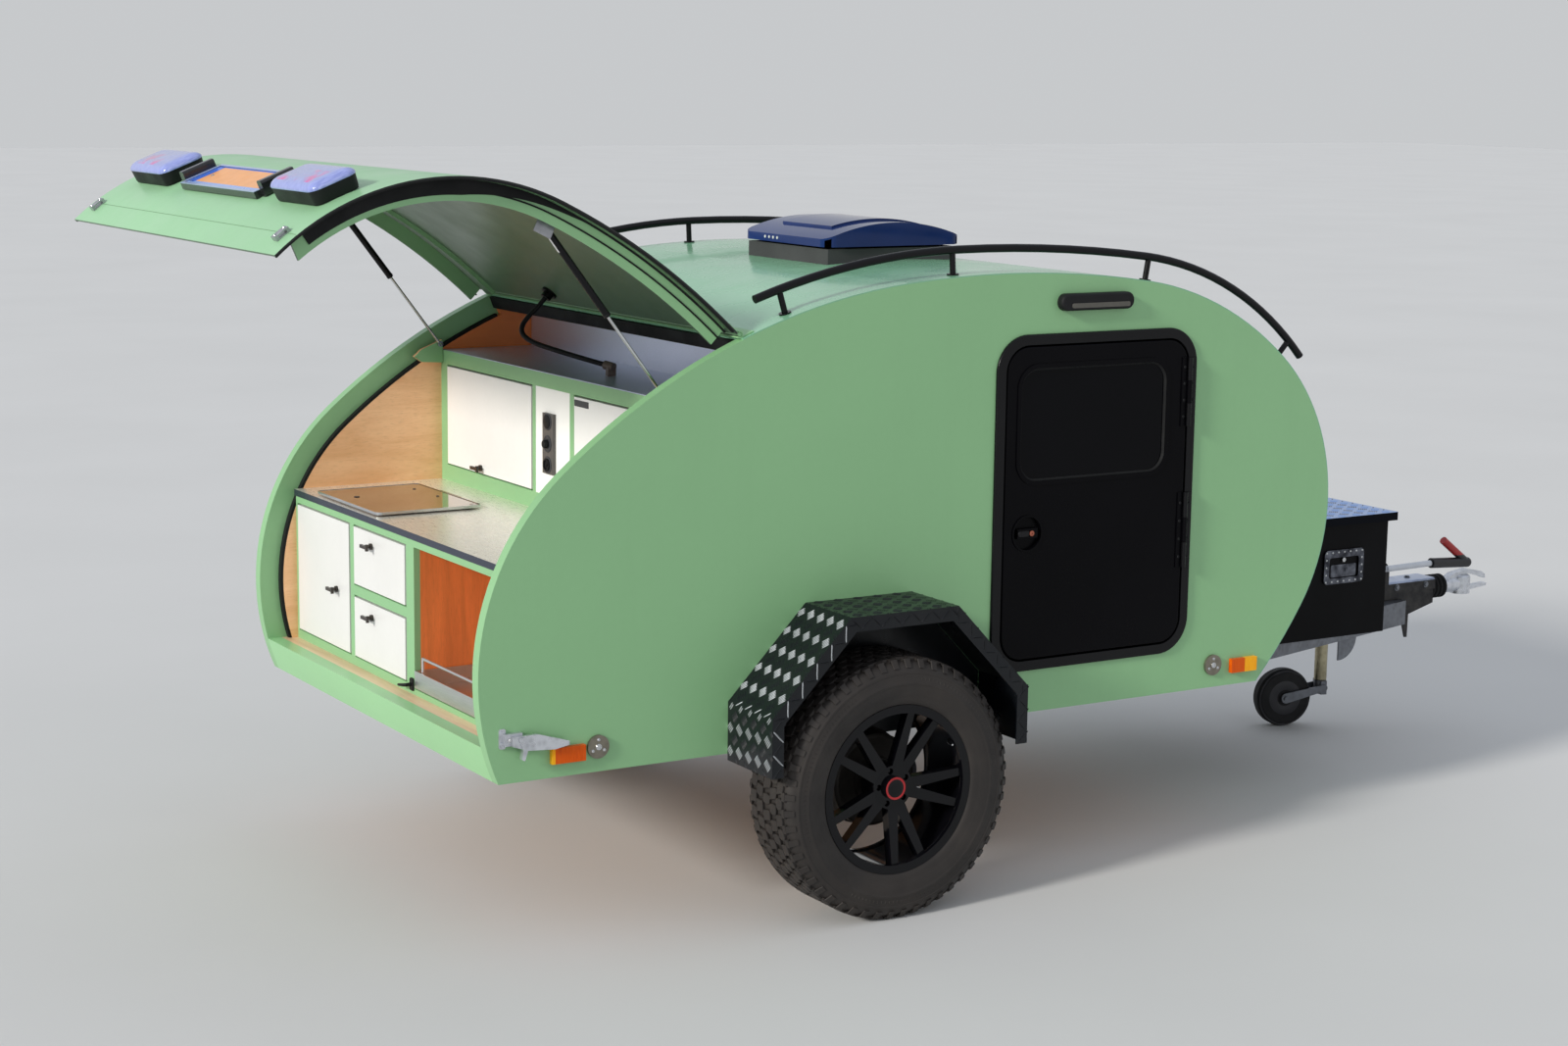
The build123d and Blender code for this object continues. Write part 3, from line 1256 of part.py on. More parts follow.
def jockey_clamp():
    """Outer tube of the jockey wheel with its clamp, cap and crank."""
    low, high = JOCKEY_TUBE_Z
    bore = JOCKEY_TUBE - JOCKEY_TUBE_WALL
    centre = (JOCKEY_X, JOCKEY_Y)
    tube = upright(Pos(*centre) * (Circle(JOCKEY_TUBE) - Circle(bore)), low, high)
    rear = JOCKEY_X - CLAMP_HALF
    front = JOCKEY_X + CLAMP_HALF
    near = JOCKEY_Y - JOCKEY_TUBE + JOCKEY_TUBE_WALL / 2
    wedge = outlined(((rear, drawbar_edge(rear)), (front, drawbar_edge(front)), (front, near), (rear, near)))
    collar = Pos(*centre) * (Circle(JOCKEY_TUBE + JOCKEY_TUBE_WALL) - Circle(bore))
    clamp = upright(wedge - Pos(*centre) * Circle(bore), *CLAMP_Z) + upright(collar, *CLAMP_Z)
    cap = upright(Pos(*centre) * Circle(JOCKEY_TUBE + 2), high, high + 2 * PADDLE_PROUD)
    top = high + CRANK_RISE
    crank = rod((*centre, high), (*centre, top + JOCKEY_TUBE_WALL), 2 * JOCKEY_TUBE_WALL)
    end = (JOCKEY_X, JOCKEY_Y + CRANK_REACH)
    crank += rod((*centre, top), (*end, top), CRANK_ARM)
    crank += rod((*end, top - CRANK_GRIP), (*end, top + CRANK_RISE), CRANK_GRIP)
    return tube + clamp + cap + crank


def jockey_leg():
    """Inner sliding tube of the jockey wheel with its swivel pin."""
    centre = (JOCKEY_X, JOCKEY_Y)
    leg = rod((*centre, JOCKEY_FOOT), (*centre, JOCKEY_LEG_TOP), JOCKEY_LEG)
    return leg + rod((*centre, JOCKEY_FOOT - JOCKEY_WIDTH), (*centre, JOCKEY_FOOT), JOCKEY_PIN)


def swivelled(piece):
    """Turns a jockey wheel piece drawn trailing straight back to its place at rest."""
    return Pos(JOCKEY_X, JOCKEY_Y, 0) * Rot(0, 0, -JOCKEY_TURN) * piece


def jockey_fork():
    """Swivelling fork that trails behind the leg."""
    head_high = JOCKEY_FOOT - 2
    head_low = JOCKEY_FOOT - JOCKEY_WIDTH + 2
    middle = (head_high + head_low) / 2
    fork = rod((0, 0, head_low), (0, 0, head_high), JOCKEY_LEG)
    inner = JOCKEY_WIDTH / 2 + JOCKEY_ARM
    ends = Pos(0, middle) * Circle(JOCKEY_ARM + 6)
    ends += Pos(-JOCKEY_TRAIL, JOCKEY_RADIUS) * Circle(JOCKEY_LEG - 4)
    arm = across(make_hull(ends.edges()), inner, inner + JOCKEY_ARM)
    fork += arm + mirrored(arm)
    fork += block(-JOCKEY_LEG / 2, JOCKEY_LEG / 2, -inner, inner, head_low, head_high)
    reach = inner + 2 * JOCKEY_ARM
    fork += cross_rod(-JOCKEY_TRAIL, JOCKEY_RADIUS, -reach, reach, JOCKEY_PIN - 1)
    fork -= rod((0, 0, 0), (0, 0, JOCKEY_FOOT), JOCKEY_PIN + JOCKEY_FIT)
    return swivelled(fork)


def jockey_wheel():
    """Solid rubber jockey wheel with chamfered edges."""
    half = JOCKEY_WIDTH / 2
    bore = JOCKEY_PIN - 1 + JOCKEY_FIT
    edge = JOCKEY_RADIUS / 8
    wheel = revolved((
        (bore, -half), (JOCKEY_RADIUS - edge, -half), (JOCKEY_RADIUS, edge - half),
        (JOCKEY_RADIUS, half - edge), (JOCKEY_RADIUS - edge, half), (bore, half),
    ))
    return swivelled(Pos(-JOCKEY_TRAIL, 0, JOCKEY_RADIUS) * wheel)


def vent_knuckle(low, high):
    """One knuckle of the vent lid's hinge."""
    return cross_rod(VENT_X + VENT_HALF + VENT_PIN[0], VENT_LOW + VENT_PIN[1], low, high, LID_KNUCKLE)


def vent_base():
    """Curb of the roof vent with the fixed knuckles of its lid."""
    half = VENT_HALF - VENT_CURB_SET
    low = VENT_CURB_TOP - VENT_CURB
    base = block(VENT_X - half, VENT_X + half, -half, half, low, VENT_CURB_TOP)
    inner = VENT_CURB_INNER
    base -= block(VENT_X - inner, VENT_X + inner, -inner, inner, FLOOR_TOP, BEYOND)
    base -= across(outline_face(-ROOF_SKIN), -HALF, HALF)
    start = VENT_X + half - 1
    end = VENT_X + VENT_HALF + VENT_PIN[0] + LID_KNUCKLE
    low = VENT_CURB_TOP - VENT_BRACKET
    near, far = VENT_HINGE
    for limits in ((-far, -near), (near, far)):
        base += vent_knuckle(*limits)
        base += block(start, end, *limits, low, low + LID_KNUCKLE)
        base += block(end - 2 * LID_KNUCKLE, end, *limits, low, VENT_LOW + VENT_PIN[1])
    return base


def vent_profile(shrink):
    """Side profile of the vent lid: a skirt under a low arch."""
    half = VENT_HALF - shrink
    skirt = VENT_LOW + VENT_SKIRT - shrink
    lines = Polyline((-half, skirt), (-half, VENT_LOW - shrink), (half, VENT_LOW - shrink), (half, skirt))
    arch = ThreePointArc((half, skirt), (0, VENT_TOP - VENT_PANEL[2] - shrink), (-half, skirt))
    return Pos(VENT_X, 0) * make_face(lines + arch)


def vent_lid():
    """Arched vent lid, hollow below, with a raised panel on top."""
    dome = across(vent_profile(0), -VENT_HALF, VENT_HALF)
    corners = dome.edges().filter_by(Axis.Z)
    dome = fillet(corners, VENT_CORNER)
    inner = VENT_HALF - VENT_WALL
    dome -= across(vent_profile(VENT_WALL), -inner, inner)
    length, width, rise = VENT_PANEL
    raised = Pos(0, rise) * vent_profile(0) - vent_profile(VENT_WALL / 2)
    raised &= Pos(VENT_X, VENT_TOP) * Rectangle(2 * length, VENT_SKIRT * 4)
    dome += across(raised, -width, width)
    reach, rise = VENT_PIN
    half = VENT_HINGE[0] - KNUCKLE_PLAY
    edge = VENT_X + VENT_HALF
    tab = block(edge - rise, edge + reach, -half, half, VENT_LOW, VENT_LOW + 2 * rise)
    return dome + tab + vent_knuckle(-half, half)


def roof_rails():
    """Two tubular rails over the roof edges with four posts each."""
    start = RAIL_POSTS[0] - RAIL_OVERHANG[0]
    end = RAIL_POSTS[-1] + RAIL_OVERHANG[1]
    spots = [station_point(start + step * (end - start) / 6, ROOF_RAIL_RISE) for step in range(7)]
    first = ThreePointArc(*spots[:3])
    second = TangentArc(spots[2], spots[4], tangent=first % 1)
    third = TangentArc(spots[4], spots[6], tangent=second % 1)
    wire = Plane.XZ * (first + second + third)
    rail = sweep(Plane(origin=wire @ 0, z_dir=wire % 0) * Circle(RAIL_TUBE), path=wire)
    side = ROOF_RAIL_SET - HALF
    rail = Pos(0, side, 0) * rail
    for distance in RAIL_POSTS:
        x_low, z_low = station_point(distance, ROOF_SKIN)
        x_high, z_high = station_point(distance, ROOF_RAIL_RISE)
        rail += rod((x_low, side, z_low), (x_high, side, z_high), RAIL_POST)
        foot = station_plane(distance, ROOF_SKIN)
        rail += foot.location * (Pos(0, side, RAIL_POST / 4) * Cylinder(RAIL_POST * 2, RAIL_POST / 2))
    rail -= across(outline_face(-ROOF_SKIN), -HALF, 0)
    return rail + mirrored(rail)


def side_markers():
    """Four amber side marker lamps."""
    length, height, thick = MARKER_SIZE
    markers = Part()
    for x in MARKER_X:
        marker = across(Pos(x, MARKER_Z) * Rectangle(length, height), -HALF - thick, -HALF)
        markers += marker + mirrored(marker)
    return markers


def porch_lamps():
    """A slim rounded awning lamp over each door."""
    x, z, length, height, thick = PORCH_LAMP
    lamp = across(window(x, z, length, height, height / 2 - 1), -HALF - thick, -HALF)
    lamp = fillet(lamp.faces().sort_by(Axis.Y)[0].edges(), thick / 3)
    return lamp + mirrored(lamp)


def tie_discs():
    """Four threaded tie-down discs low on the walls."""
    discs = Part()
    for x, z in TIE_DISCS:
        disc = cross_rod(x, z, -HALF - TIE_THICK, -HALF, TIE_RADIUS)
        disc -= cross_rod(x, z, -HALF - TIE_THICK - 1, -HALF + 1, TIE_BORE)
        discs += disc + mirrored(disc)
    return discs


def hatch_latches():
    """Over-centre toggle latches on the side walls."""
    x_low, x_high, z_low, z_high = LATCH_PLATE
    middle = (x_low + x_high) / 2
    thick = LATCH_ARM_SPAN[0]
    face = window(middle, (z_low + z_high) / 2, x_high - x_low, z_high - z_low, LATCH_RIVET)
    plate = across(face, -HALF - LATCH_SHEET, -HALF)
    for z in (z_low + middle, z_high - middle):
        plate += cross_rod(middle, z, -HALF - 2 * LATCH_SHEET, -HALF, LATCH_RIVET)
    x_low, x_high, z_low, z_high = LATCH_BODY
    body = block(x_low, x_high, -HALF - thick, -HALF, z_low, z_high)
    near, far = LATCH_ARM_SPAN
    arm = across(outlined(LATCH_ARM), -HALF - far, -HALF - near + 1)
    lug = across(outlined(LATCH_LUG), -HALF - far - LATCH_SHEET, -HALF - near)
    latch = plate + body + arm + lug
    return latch + mirrored(latch)


def build():
    """All nodes by name, in the drawing position."""
    right_door = side_door()
    right_glass = door_glass()
    rim = wheel_rim()
    right_tyre = tyre()
    wall = side_wall()
    return {
        "chassis_frame": chassis_frame(),
        "axle": axle(),
        "floor_panel": floor_panel(),
        "side_wall_right": wall,
        "side_wall_left": mirrored(wall),
        "wall_linings": wall_linings(),
        "roof_shell": roof_shell(),
        "rear_valance": rear_valance(),
        "bulkhead": bulkhead(),
        "worktop": worktop(),
        "hob_lid": hob_lid(),
        "lower_cabinet": lower_cabinet(),
        "upper_cabinet": upper_cabinet(),
        "shelf_liner": shelf_liner(),
        "galley_fittings": galley_fittings(),
        "hinge_rail": hinge_rail(),
        "hatch_seal": hatch_seal(),
        "roof_rails": roof_rails(),
        "vent_base": vent_base(),
        "vent_lid": vent_lid(),
        "fenders": fenders(),
        "drawbar_box": drawbar_box(),
        "box_lid": box_lid(),
        "overrun_housing": overrun_housing(),
        "bellows": bellows(),
        "coupling_head": coupling_head(),
        "handbrake_lever": handbrake_lever(),
        "jockey_clamp": jockey_clamp(),
        "jockey_leg": jockey_leg(),
        "jockey_fork": jockey_fork(),
        "jockey_wheel": jockey_wheel(),
        "door_frames": door_frames(),
        "door_right": right_door,
        "door_left": mirrored(right_door),
        "door_glass_right": right_glass,
        "door_glass_left": mirrored(right_glass),
        "porch_lamps": porch_lamps(),
        "side_markers": side_markers(),
        "tie_discs": tie_discs(),
        "hatch_latches": hatch_latches(),
        "hatch_shell": hatch_shell(),
        "hatch_fittings": hatch_fittings(),
        "tail_lamps": tail_lamps(),
        "plate_holder": plate_holder(),
        "strut_cylinder_right": strut_cylinder(-1),
        "strut_cylinder_left": strut_cylinder(1),
        "strut_rod_right": strut_rod(-1),
        "strut_rod_left": strut_rod(1),
        "conduit": conduit(),
        "wheel_right": rim,
        "tyre_right": right_tyre,
        "wheel_left": mirrored(rim),
        "tyre_left": mirrored(right_tyre),
        "pull_out_tray": pull_out_tray(),
        "drawer_upper": drawer(LOWER_FRONTS["drawer_upper"]),
        "drawer_lower": drawer(LOWER_FRONTS["drawer_lower"]),
        "cabinet_door": cabinet_door(),
        "flap_left": flap("flap_left"),
        "flap_right": flap("flap_right"),
    }


NODES = build()
SOLIDS = {name: piece.solids() for name, piece in NODES.items()}
RIGID = [solid for name, solids in SOLIDS.items() if name != "conduit" for solid in solids]
BOUNDS = Compound(RIGID).bounding_box()
SHIFT_X = -(BOUNDS.min.X + BOUNDS.max.X) / 2
SHIFT_Y = -(BOUNDS.min.Y + BOUNDS.max.Y) / 2
SHIFT_Z = -BOUNDS.min.Z

os.makedirs("parts", exist_ok=True)
for name, solids in SOLIDS.items():
    placed = [Pos(SHIFT_X, SHIFT_Y, SHIFT_Z) * solid for solid in solids]
    export_step(placed[0] if len(placed) == 1 else Compound(placed), f"parts/{name}.step")
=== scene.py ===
import bpy
import bmesh
import math
from mathutils import Matrix, Vector


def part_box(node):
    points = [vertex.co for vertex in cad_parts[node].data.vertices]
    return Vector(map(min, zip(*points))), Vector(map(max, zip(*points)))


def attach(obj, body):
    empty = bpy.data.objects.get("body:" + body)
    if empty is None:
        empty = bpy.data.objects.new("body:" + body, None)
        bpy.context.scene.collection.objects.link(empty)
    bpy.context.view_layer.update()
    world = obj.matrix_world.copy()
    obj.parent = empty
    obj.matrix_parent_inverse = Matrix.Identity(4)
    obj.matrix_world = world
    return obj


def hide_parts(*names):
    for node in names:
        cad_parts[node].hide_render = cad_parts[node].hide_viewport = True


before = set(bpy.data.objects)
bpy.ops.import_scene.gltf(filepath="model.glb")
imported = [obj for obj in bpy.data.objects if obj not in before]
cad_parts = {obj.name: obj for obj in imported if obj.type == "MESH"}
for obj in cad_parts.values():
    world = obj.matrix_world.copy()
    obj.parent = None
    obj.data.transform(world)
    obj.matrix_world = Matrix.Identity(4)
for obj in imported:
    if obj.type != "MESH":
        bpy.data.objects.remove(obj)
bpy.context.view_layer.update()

# Lengths are millimetres in the drawing frame, whose x is 0 at the rear lower corner of the body
SHIFT = -1759.1034
HALF = 745
SIDES = (("right", -1), ("left", 1))

HATCH_ANGLE = math.radians(66.25)
HINGE_STATION, HINGE_RISE = 1405, 13
OUTLINE_START = (113.1, 1.5, 440.8)
OUTLINE_ARCS = ((645, 72.2), (1803, 35.0), (3161, 14.2), (958, 33.1), (559, 80.7), (1424, 10.7))


def drawn(x):
    """Scene metres of an x in the drawing frame."""
    return (x + SHIFT) / 1000


def axes(origin, x, z):
    """A frame at origin with its x and z directions given."""
    x = Vector(x).normalized()
    z = Vector(z).normalized()
    return Matrix.Translation(origin) @ Matrix((x, z.cross(x), z)).transposed().to_4x4()


def side_frame(x, y, z, side):
    """A frame on a side wall: x forward, z outward to that side."""
    return axes((x, side * y, z), (1, 0, 0), (0, side, 0))


def rear_frame(x, y, z):
    """A frame on a face that looks to the rear: x to the left, z backward."""
    return axes((x, y, z), (0, 1, 0), (-1, 0, 0))


def move(x, y, z):
    return Matrix.Translation((x, y, z))


def about(angle):
    return Matrix.Rotation(angle, 4, "Z")


def station(distance, outset=0):
    """Point and heading on the side outline, outset from it."""
    heading, x, z = OUTLINE_START
    for radius, sweep in OUTLINE_ARCS:
        turn = min(math.degrees(distance / radius), sweep)
        cx = x + radius * math.sin(math.radians(heading))
        cz = z - radius * math.cos(math.radians(heading))
        heading -= turn
        x = cx - radius * math.sin(math.radians(heading))
        z = cz + radius * math.cos(math.radians(heading))
        distance -= math.radians(turn) * radius
        if turn < sweep:
            break
    along = math.radians(heading)
    return x - outset * math.sin(along), z + outset * math.cos(along), heading


PIN_X, PIN_Z, _ = station(HINGE_STATION, HINGE_RISE)


def on_hatch(distance, outset):
    """A frame on the open hatch: x up the outline, y to the left, z out of the skin."""
    x, z, heading = station(distance, outset)
    dx, dz = x - PIN_X, z - PIN_Z
    turned = math.radians(heading) - HATCH_ANGLE
    point = (PIN_X + dx * math.cos(HATCH_ANGLE) + dz * math.sin(HATCH_ANGLE), 0,
             PIN_Z - dx * math.sin(HATCH_ANGLE) + dz * math.cos(HATCH_ANGLE))
    return axes(point, (math.cos(turned), 0, math.sin(turned)), (-math.sin(turned), 0, math.cos(turned)))


# Materials

class Shader:
    """Builds one Principled material from object-space noise."""

    def __init__(self, name, rough=0.5, metal=0.0, coat=0.0, specular=0.5):
        self.material = bpy.data.materials.new(name)
        self.material.use_nodes = True
        self.tree = self.material.node_tree
        self.tree.nodes.clear()
        self.bsdf = self.add("BsdfPrincipled")
        self.join(self.bsdf.outputs[0], self.add("OutputMaterial").inputs[0])
        self.preset(self.bsdf, ("Roughness", rough), ("Metallic", metal), ("Coat Weight", coat),
                    ("Coat Roughness", 0.06), ("Specular IOR Level", specular))
        coord = self.add("TexCoord")
        self.place = coord.outputs["Object"]
        self.x, self.y, self.z = self.parts(self.place)
        _, self.ny, self.nz = self.parts(coord.outputs["Normal"])

    def add(self, kind):
        return self.tree.nodes.new("ShaderNode" + kind)

    def join(self, source, target):
        self.tree.links.new(source, target)

    def preset(self, node, *values):
        for socket, value in values:
            node.inputs[socket].default_value = value

    def parts(self, vector):
        node = self.add("SeparateXYZ")
        self.join(vector, node.inputs[0])
        return node.outputs

    def feed(self, value, socket):
        """Sets a socket to a number or colour, or joins it to another one."""
        if isinstance(value, bpy.types.NodeSocket):
            self.join(value, socket)
        else:
            socket.default_value = (*value, 1) if isinstance(value, tuple) else value

    def math(self, operation, first, second=0.0):
        node = self.add("Math")
        node.operation = operation
        self.feed(first, node.inputs[0])
        self.feed(second, node.inputs[1])
        return node.outputs[0]

    def both(self, first, second):
        return self.math("MULTIPLY", first, second)

    def over(self, value, limit):
        return self.math("GREATER_THAN", value, limit)

    def under(self, value, limit):
        return self.math("LESS_THAN", value, limit)

    def within(self, value, low, high):
        return self.both(self.over(value, low), self.under(value, high))

    def away(self, value):
        return self.math("ABSOLUTE", value)

    def noise(self, scale, detail=3.0, stretch=None, distortion=0.0, roughness=0.55):
        place = self.place
        if stretch:
            mapping = self.add("Mapping")
            mapping.inputs["Scale"].default_value = stretch
            self.join(place, mapping.inputs["Vector"])
            place = mapping.outputs[0]
        node = self.add("TexNoise")
        self.join(place, node.inputs["Vector"])
        self.preset(node, ("Scale", scale), ("Detail", detail), ("Roughness", roughness),
                    ("Distortion", distortion))
        return node.outputs["Fac"]

    def spread(self, value, low, high, to_low=0.0, to_high=1.0):
        node = self.add("MapRange")
        node.clamp = True
        for number, amount in enumerate((value, low, high, to_low, to_high)):
            self.feed(amount, node.inputs[number])
        return node.outputs[0]

    def region(self, x=None, y=None, z=None):
        """1 inside a box given in drawing millimetres."""
        total = None
        for axis, limits, shift in ((self.x, x, SHIFT), (self.y, y, 0), (self.z, z, 0)):
            if limits:
                part = self.within(axis, (limits[0] + shift) / 1000, (limits[1] + shift) / 1000)
                total = part if total is None else self.both(total, part)
        return total

    def above(self, origin, normal):
        """Height in millimetres over a plane across the trailer, given as x and z in the drawing frame."""
        offset = (origin[0] + SHIFT) * normal[0] + origin[1] * normal[1]
        slope = self.math("ADD", self.both(self.x, normal[0] * 1000), self.both(self.z, normal[1] * 1000))
        return self.math("SUBTRACT", slope, offset)

    def blend(self, share, first, second):
        node = self.add("Mix")
        node.data_type = "RGBA"
        for value, socket in ((share, 0), (first, 6), (second, 7)):
            self.feed(value, node.inputs[socket])
        return node.outputs[2]

    def mottled(self, scale, first, second, detail=4, low=0.3, high=0.7, most=1.0, stretch=None):
        """Two colours mixed by noise, the second up to the share called most."""
        share = self.spread(self.noise(scale, detail, stretch), low, high, 0.0, most)
        return self.blend(share, first, second)

    def colour(self, value):
        self.feed(value, self.bsdf.inputs["Base Color"])

    def rough(self, value):
        self.feed(value, self.bsdf.inputs["Roughness"])

    def uneven(self, scale, least, most, detail=4, low=0.3):
        """Roughness that wanders between two values."""
        self.rough(self.spread(self.noise(scale, detail), low, 0.7, least, most))

    def bump(self, height, depth, strength):
        node = self.add("Bump")
        self.preset(node, ("Distance", depth), ("Strength", strength))
        self.join(height, node.inputs["Height"])
        self.join(node.outputs[0], self.bsdf.inputs["Normal"])

    def grain(self, scale, detail, depth, strength=0.3):
        self.bump(self.noise(scale, detail), depth, strength)


def tone(colour, factor):
    return tuple(min(1.0, part * factor) for part in colour)


GREEN = (0.250, 0.485, 0.240)
# The hatch's lighter green is the wall green lightened as painted light, for the hatch's upward faces.
HATCH_LIT_GREEN = (0.285, 0.530, 0.300)
# The roof green is the body green shifted towards blue as a painted sky reflection.
ROOF_SKY_GREEN = (0.205, 0.455, 0.275)
WHITE = (0.73, 0.73, 0.71)
OAK = (1.0, 0.60, 0.33)
OAK_LINE = (0.86, 0.46, 0.22)
WARM_OAK = (1.0, 0.27, 0.070)
BLACK = (0.0045, 0.0045, 0.0055)
DUST = (0.10, 0.09, 0.075)

# Places where one solid changes its finish, in drawing millimetres
LOWER_FACE, UPPER_FACE, WORKTOP_FOLD, LID_TOP = 72.5, 524.5, 50.6, 831.2
BLOCK_FACE, STUD_END, STRIP_FACE, STRIP_REACH = 682.5, 678.5, 508, 200
FRONT_MARKER, LEVER_ROD, LEVER_END, LEVER_RAISED = 2336, 3742, 3790, 576


def painted(shader, colour, grain=0.05, scale=1.6):
    """Slightly uneven paint: large soft patches, faint rub marks and fine orange peel."""
    base = shader.mottled(scale, tone(colour, 1 - grain), tone(colour, 1 + grain))
    base = shader.mottled(55, base, tone(colour, 0.86), 5, 0.35, 0.75, 0.12)
    shader.grain(420, 2, 0.0004, 0.25)
    return base


def wooden(shader, light, dark, stretch, scale=2.2):
    """Wood with long growth lines, fine pores and a slow change of tone."""
    lines = shader.noise(scale, 6, stretch, 0.6, 0.62)
    pores = shader.noise(scale * 14, 3, stretch)
    base = shader.blend(shader.spread(lines, 0.36, 0.64), dark, light)
    base = shader.blend(shader.spread(pores, 0.52, 0.72, 0.0, 0.35), base, tone(dark, 0.7))
    shader.bump(pores, 0.0006, 0.3)
    return base


def make_green(name, rough, coat=0.0, colour=GREEN):
    shader = Shader(name, rough, coat=coat)
    shader.colour(painted(shader, colour))
    shader.uneven(7, rough - 0.05, rough + 0.07)
    return shader.material


def make_hatch():
    """Paint with a painted highlight, a lighter green, on the upward outer faces and painted shade, a dark
    green, on the inner faces, with black rubber along the cut edges of the skin.
    """
    shader = Shader("hatch_paint", 0.36)
    # Painted light: upward faces take the lighter green; faces turned down take a dark green as painted
    # shade.
    base = shader.blend(shader.over(shader.nz, 0.5), painted(shader, GREEN), painted(shader, HATCH_LIT_GREEN))
    base = shader.blend(shader.under(shader.nz, -0.3), base, (0.082, 0.140, 0.082))
    edge = shader.over(shader.away(shader.y), (HALF - 1.5) / 1000)
    side = shader.over(shader.away(shader.ny), 0.6)
    shader.colour(shader.blend(shader.both(edge, side), base, (0.006, 0.008, 0.008)))
    shader.uneven(7, 0.30, 0.44)
    return shader.material


def make_wall():
    """Outer paint with faint streaks running down."""
    shader = Shader("wall_paint", 0.40)
    base = painted(shader, GREEN, 0.035, 0.9)
    shader.colour(shader.mottled(3, base, tone(GREEN, 0.8), 5, 0.5, 0.8, 0.10, (6.0, 6.0, 0.5)))
    shader.uneven(6, 0.34, 0.46)
    return shader.material


def make_oak(name, stretch=(1.0, 18.0, 14.0), deep=None):
    """Oak veneer, darker and redder in the box called deep, as painted shade."""
    shader = Shader(name, 0.42)
    base = wooden(shader, OAK, OAK_LINE, stretch)
    if deep:
        # The darker, redder oak in the box called deep is painted shade on the upper inner lining.
        warm = shader.blend(shader.noise(5, 4, stretch), tone(WARM_OAK, 0.8), WARM_OAK)
        base = shader.blend(shader.region(*deep), base, warm)
    shader.colour(base)
    return shader.material


def make_fronts(name, face_x, catch_x, colour=WHITE):
    """White front with wooden edges whose catch, ahead of the face, is dark bronze."""
    shader = Shader(name, 0.32)
    base = painted(shader, colour, 0.02, 5)
    base = shader.blend(shader.over(shader.x, drawn(face_x)), base, (0.62, 0.42, 0.24))
    bronze = shader.mottled(60, (0.016, 0.012, 0.010), (0.05, 0.036, 0.028), low=0.35)
    shader.colour(shader.blend(shader.under(shader.x, drawn(catch_x)), base, bronze))
    return shader.material


def make_lower_cabinet():
    shader = Shader("lower_cabinet_faces", 0.42)
    paint = painted(shader, GREEN, 0.03, 4)
    wood = wooden(shader, WARM_OAK, tone(WARM_OAK, 0.78), (14.0, 14.0, 1.2))
    shader.colour(shader.blend(shader.over(shader.x, drawn(LOWER_FACE)), paint, wood))
    return shader.material


def make_upper_cabinet():
    """Green frame round a white middle panel, with oak inside."""
    shader = Shader("upper_cabinet_faces", 0.40)
    paint = painted(shader, GREEN, 0.03, 4)
    wood = wooden(shader, OAK, tone(OAK, 0.7), (1.5, 16.0, 16.0))
    panel = shader.region((507.5, 524), (-128, 77), (1005, 1297))
    paint = shader.blend(panel, paint, (0.96, 0.96, 0.93))
    shader.colour(shader.blend(shader.over(shader.x, drawn(UPPER_FACE)), paint, wood))
    return shader.material


def make_valance():
    """Green panel, lightened as painted light, with a light wood strip along the foot of the cabinets."""
    shader = Shader("valance_faces", 0.34)
    # The green is lightened by 1.22 as painted light on this rear-facing panel.
    paint = painted(shader, tone(GREEN, 1.22), 0.03, 3)
    wood = wooden(shader, (0.86, 0.62, 0.42), (0.70, 0.46, 0.28), (16.0, 1.0, 16.0))
    shader.colour(shader.blend(shader.region((12, 90), None, (529.0, 531)), paint, wood))
    return shader.material


def make_fittings():
    """Socket strip, painted bracket plates, their wooden blocks and the gland, told apart by place."""
    shader = Shader("galley_fitting_faces", 0.42)
    away = shader.away(shader.y)
    paint = painted(shader, GREEN, 0.04, 6)
    wood = wooden(shader, OAK, OAK_LINE, (1.0, 16.0, 9.0), 4)
    base = shader.blend(shader.over(away, BLOCK_FACE / 1000), paint, wood)
    stud = shader.blend(shader.noise(30), (0.42, 0.42, 0.42), (0.6, 0.6, 0.6))
    base = shader.blend(shader.under(away, STUD_END / 1000), base, stud)
    strip = shader.both(shader.under(shader.x, drawn(STRIP_FACE)), shader.under(away, STRIP_REACH / 1000))
    grey = shader.mottled(18, (0.075, 0.070, 0.068), (0.115, 0.106, 0.100), stretch=(8.0, 8.0, 1.0))
    base = shader.blend(strip, base, grey)
    gland = shader.region((560, 680), (-200, -40), (1320, 1400))
    shader.colour(shader.blend(gland, base, (0.13, 0.095, 0.080)))
    return shader.material


def make_hatch_fittings():
    """Zinc-plated brackets and strikes; the gland is black plastic."""
    shader = Shader("hatch_fitting_faces", 0.30, 0.7)
    base = shader.mottled(28, (0.24, 0.25, 0.27), (0.46, 0.47, 0.50))
    gland = shader.region((520, 660), (140, 200), (1480, 1600))
    shader.colour(shader.blend(gland, base, (0.008, 0.008, 0.009)))
    shader.grain(150, 3, 0.0004, 0.25)
    return shader.material


def make_brushed(name, colour, stretch, rough=0.34, metal=1.0, dark=None, deep=(0.045, 0.055, 0.085)):
    """Brushed metal; dark gives a place that is dull and dark, such as a folded edge."""
    shader = Shader(name, rough, metal)
    streaks = shader.noise(22, 4, stretch)
    base = shader.blend(shader.spread(streaks, 0.3, 0.7), tone(colour, 0.92), tone(colour, 1.08))
    base = shader.mottled(4, base, tone(colour, 0.82), 4, 0.35, 0.7, 0.22)
    if dark:
        base = shader.blend(dark(shader), base, deep)
    shader.colour(base)
    shader.rough(shader.spread(streaks, 0.3, 0.7, rough - 0.06, rough + 0.08))
    shader.bump(streaks, 0.0003, 0.25)
    return shader.material


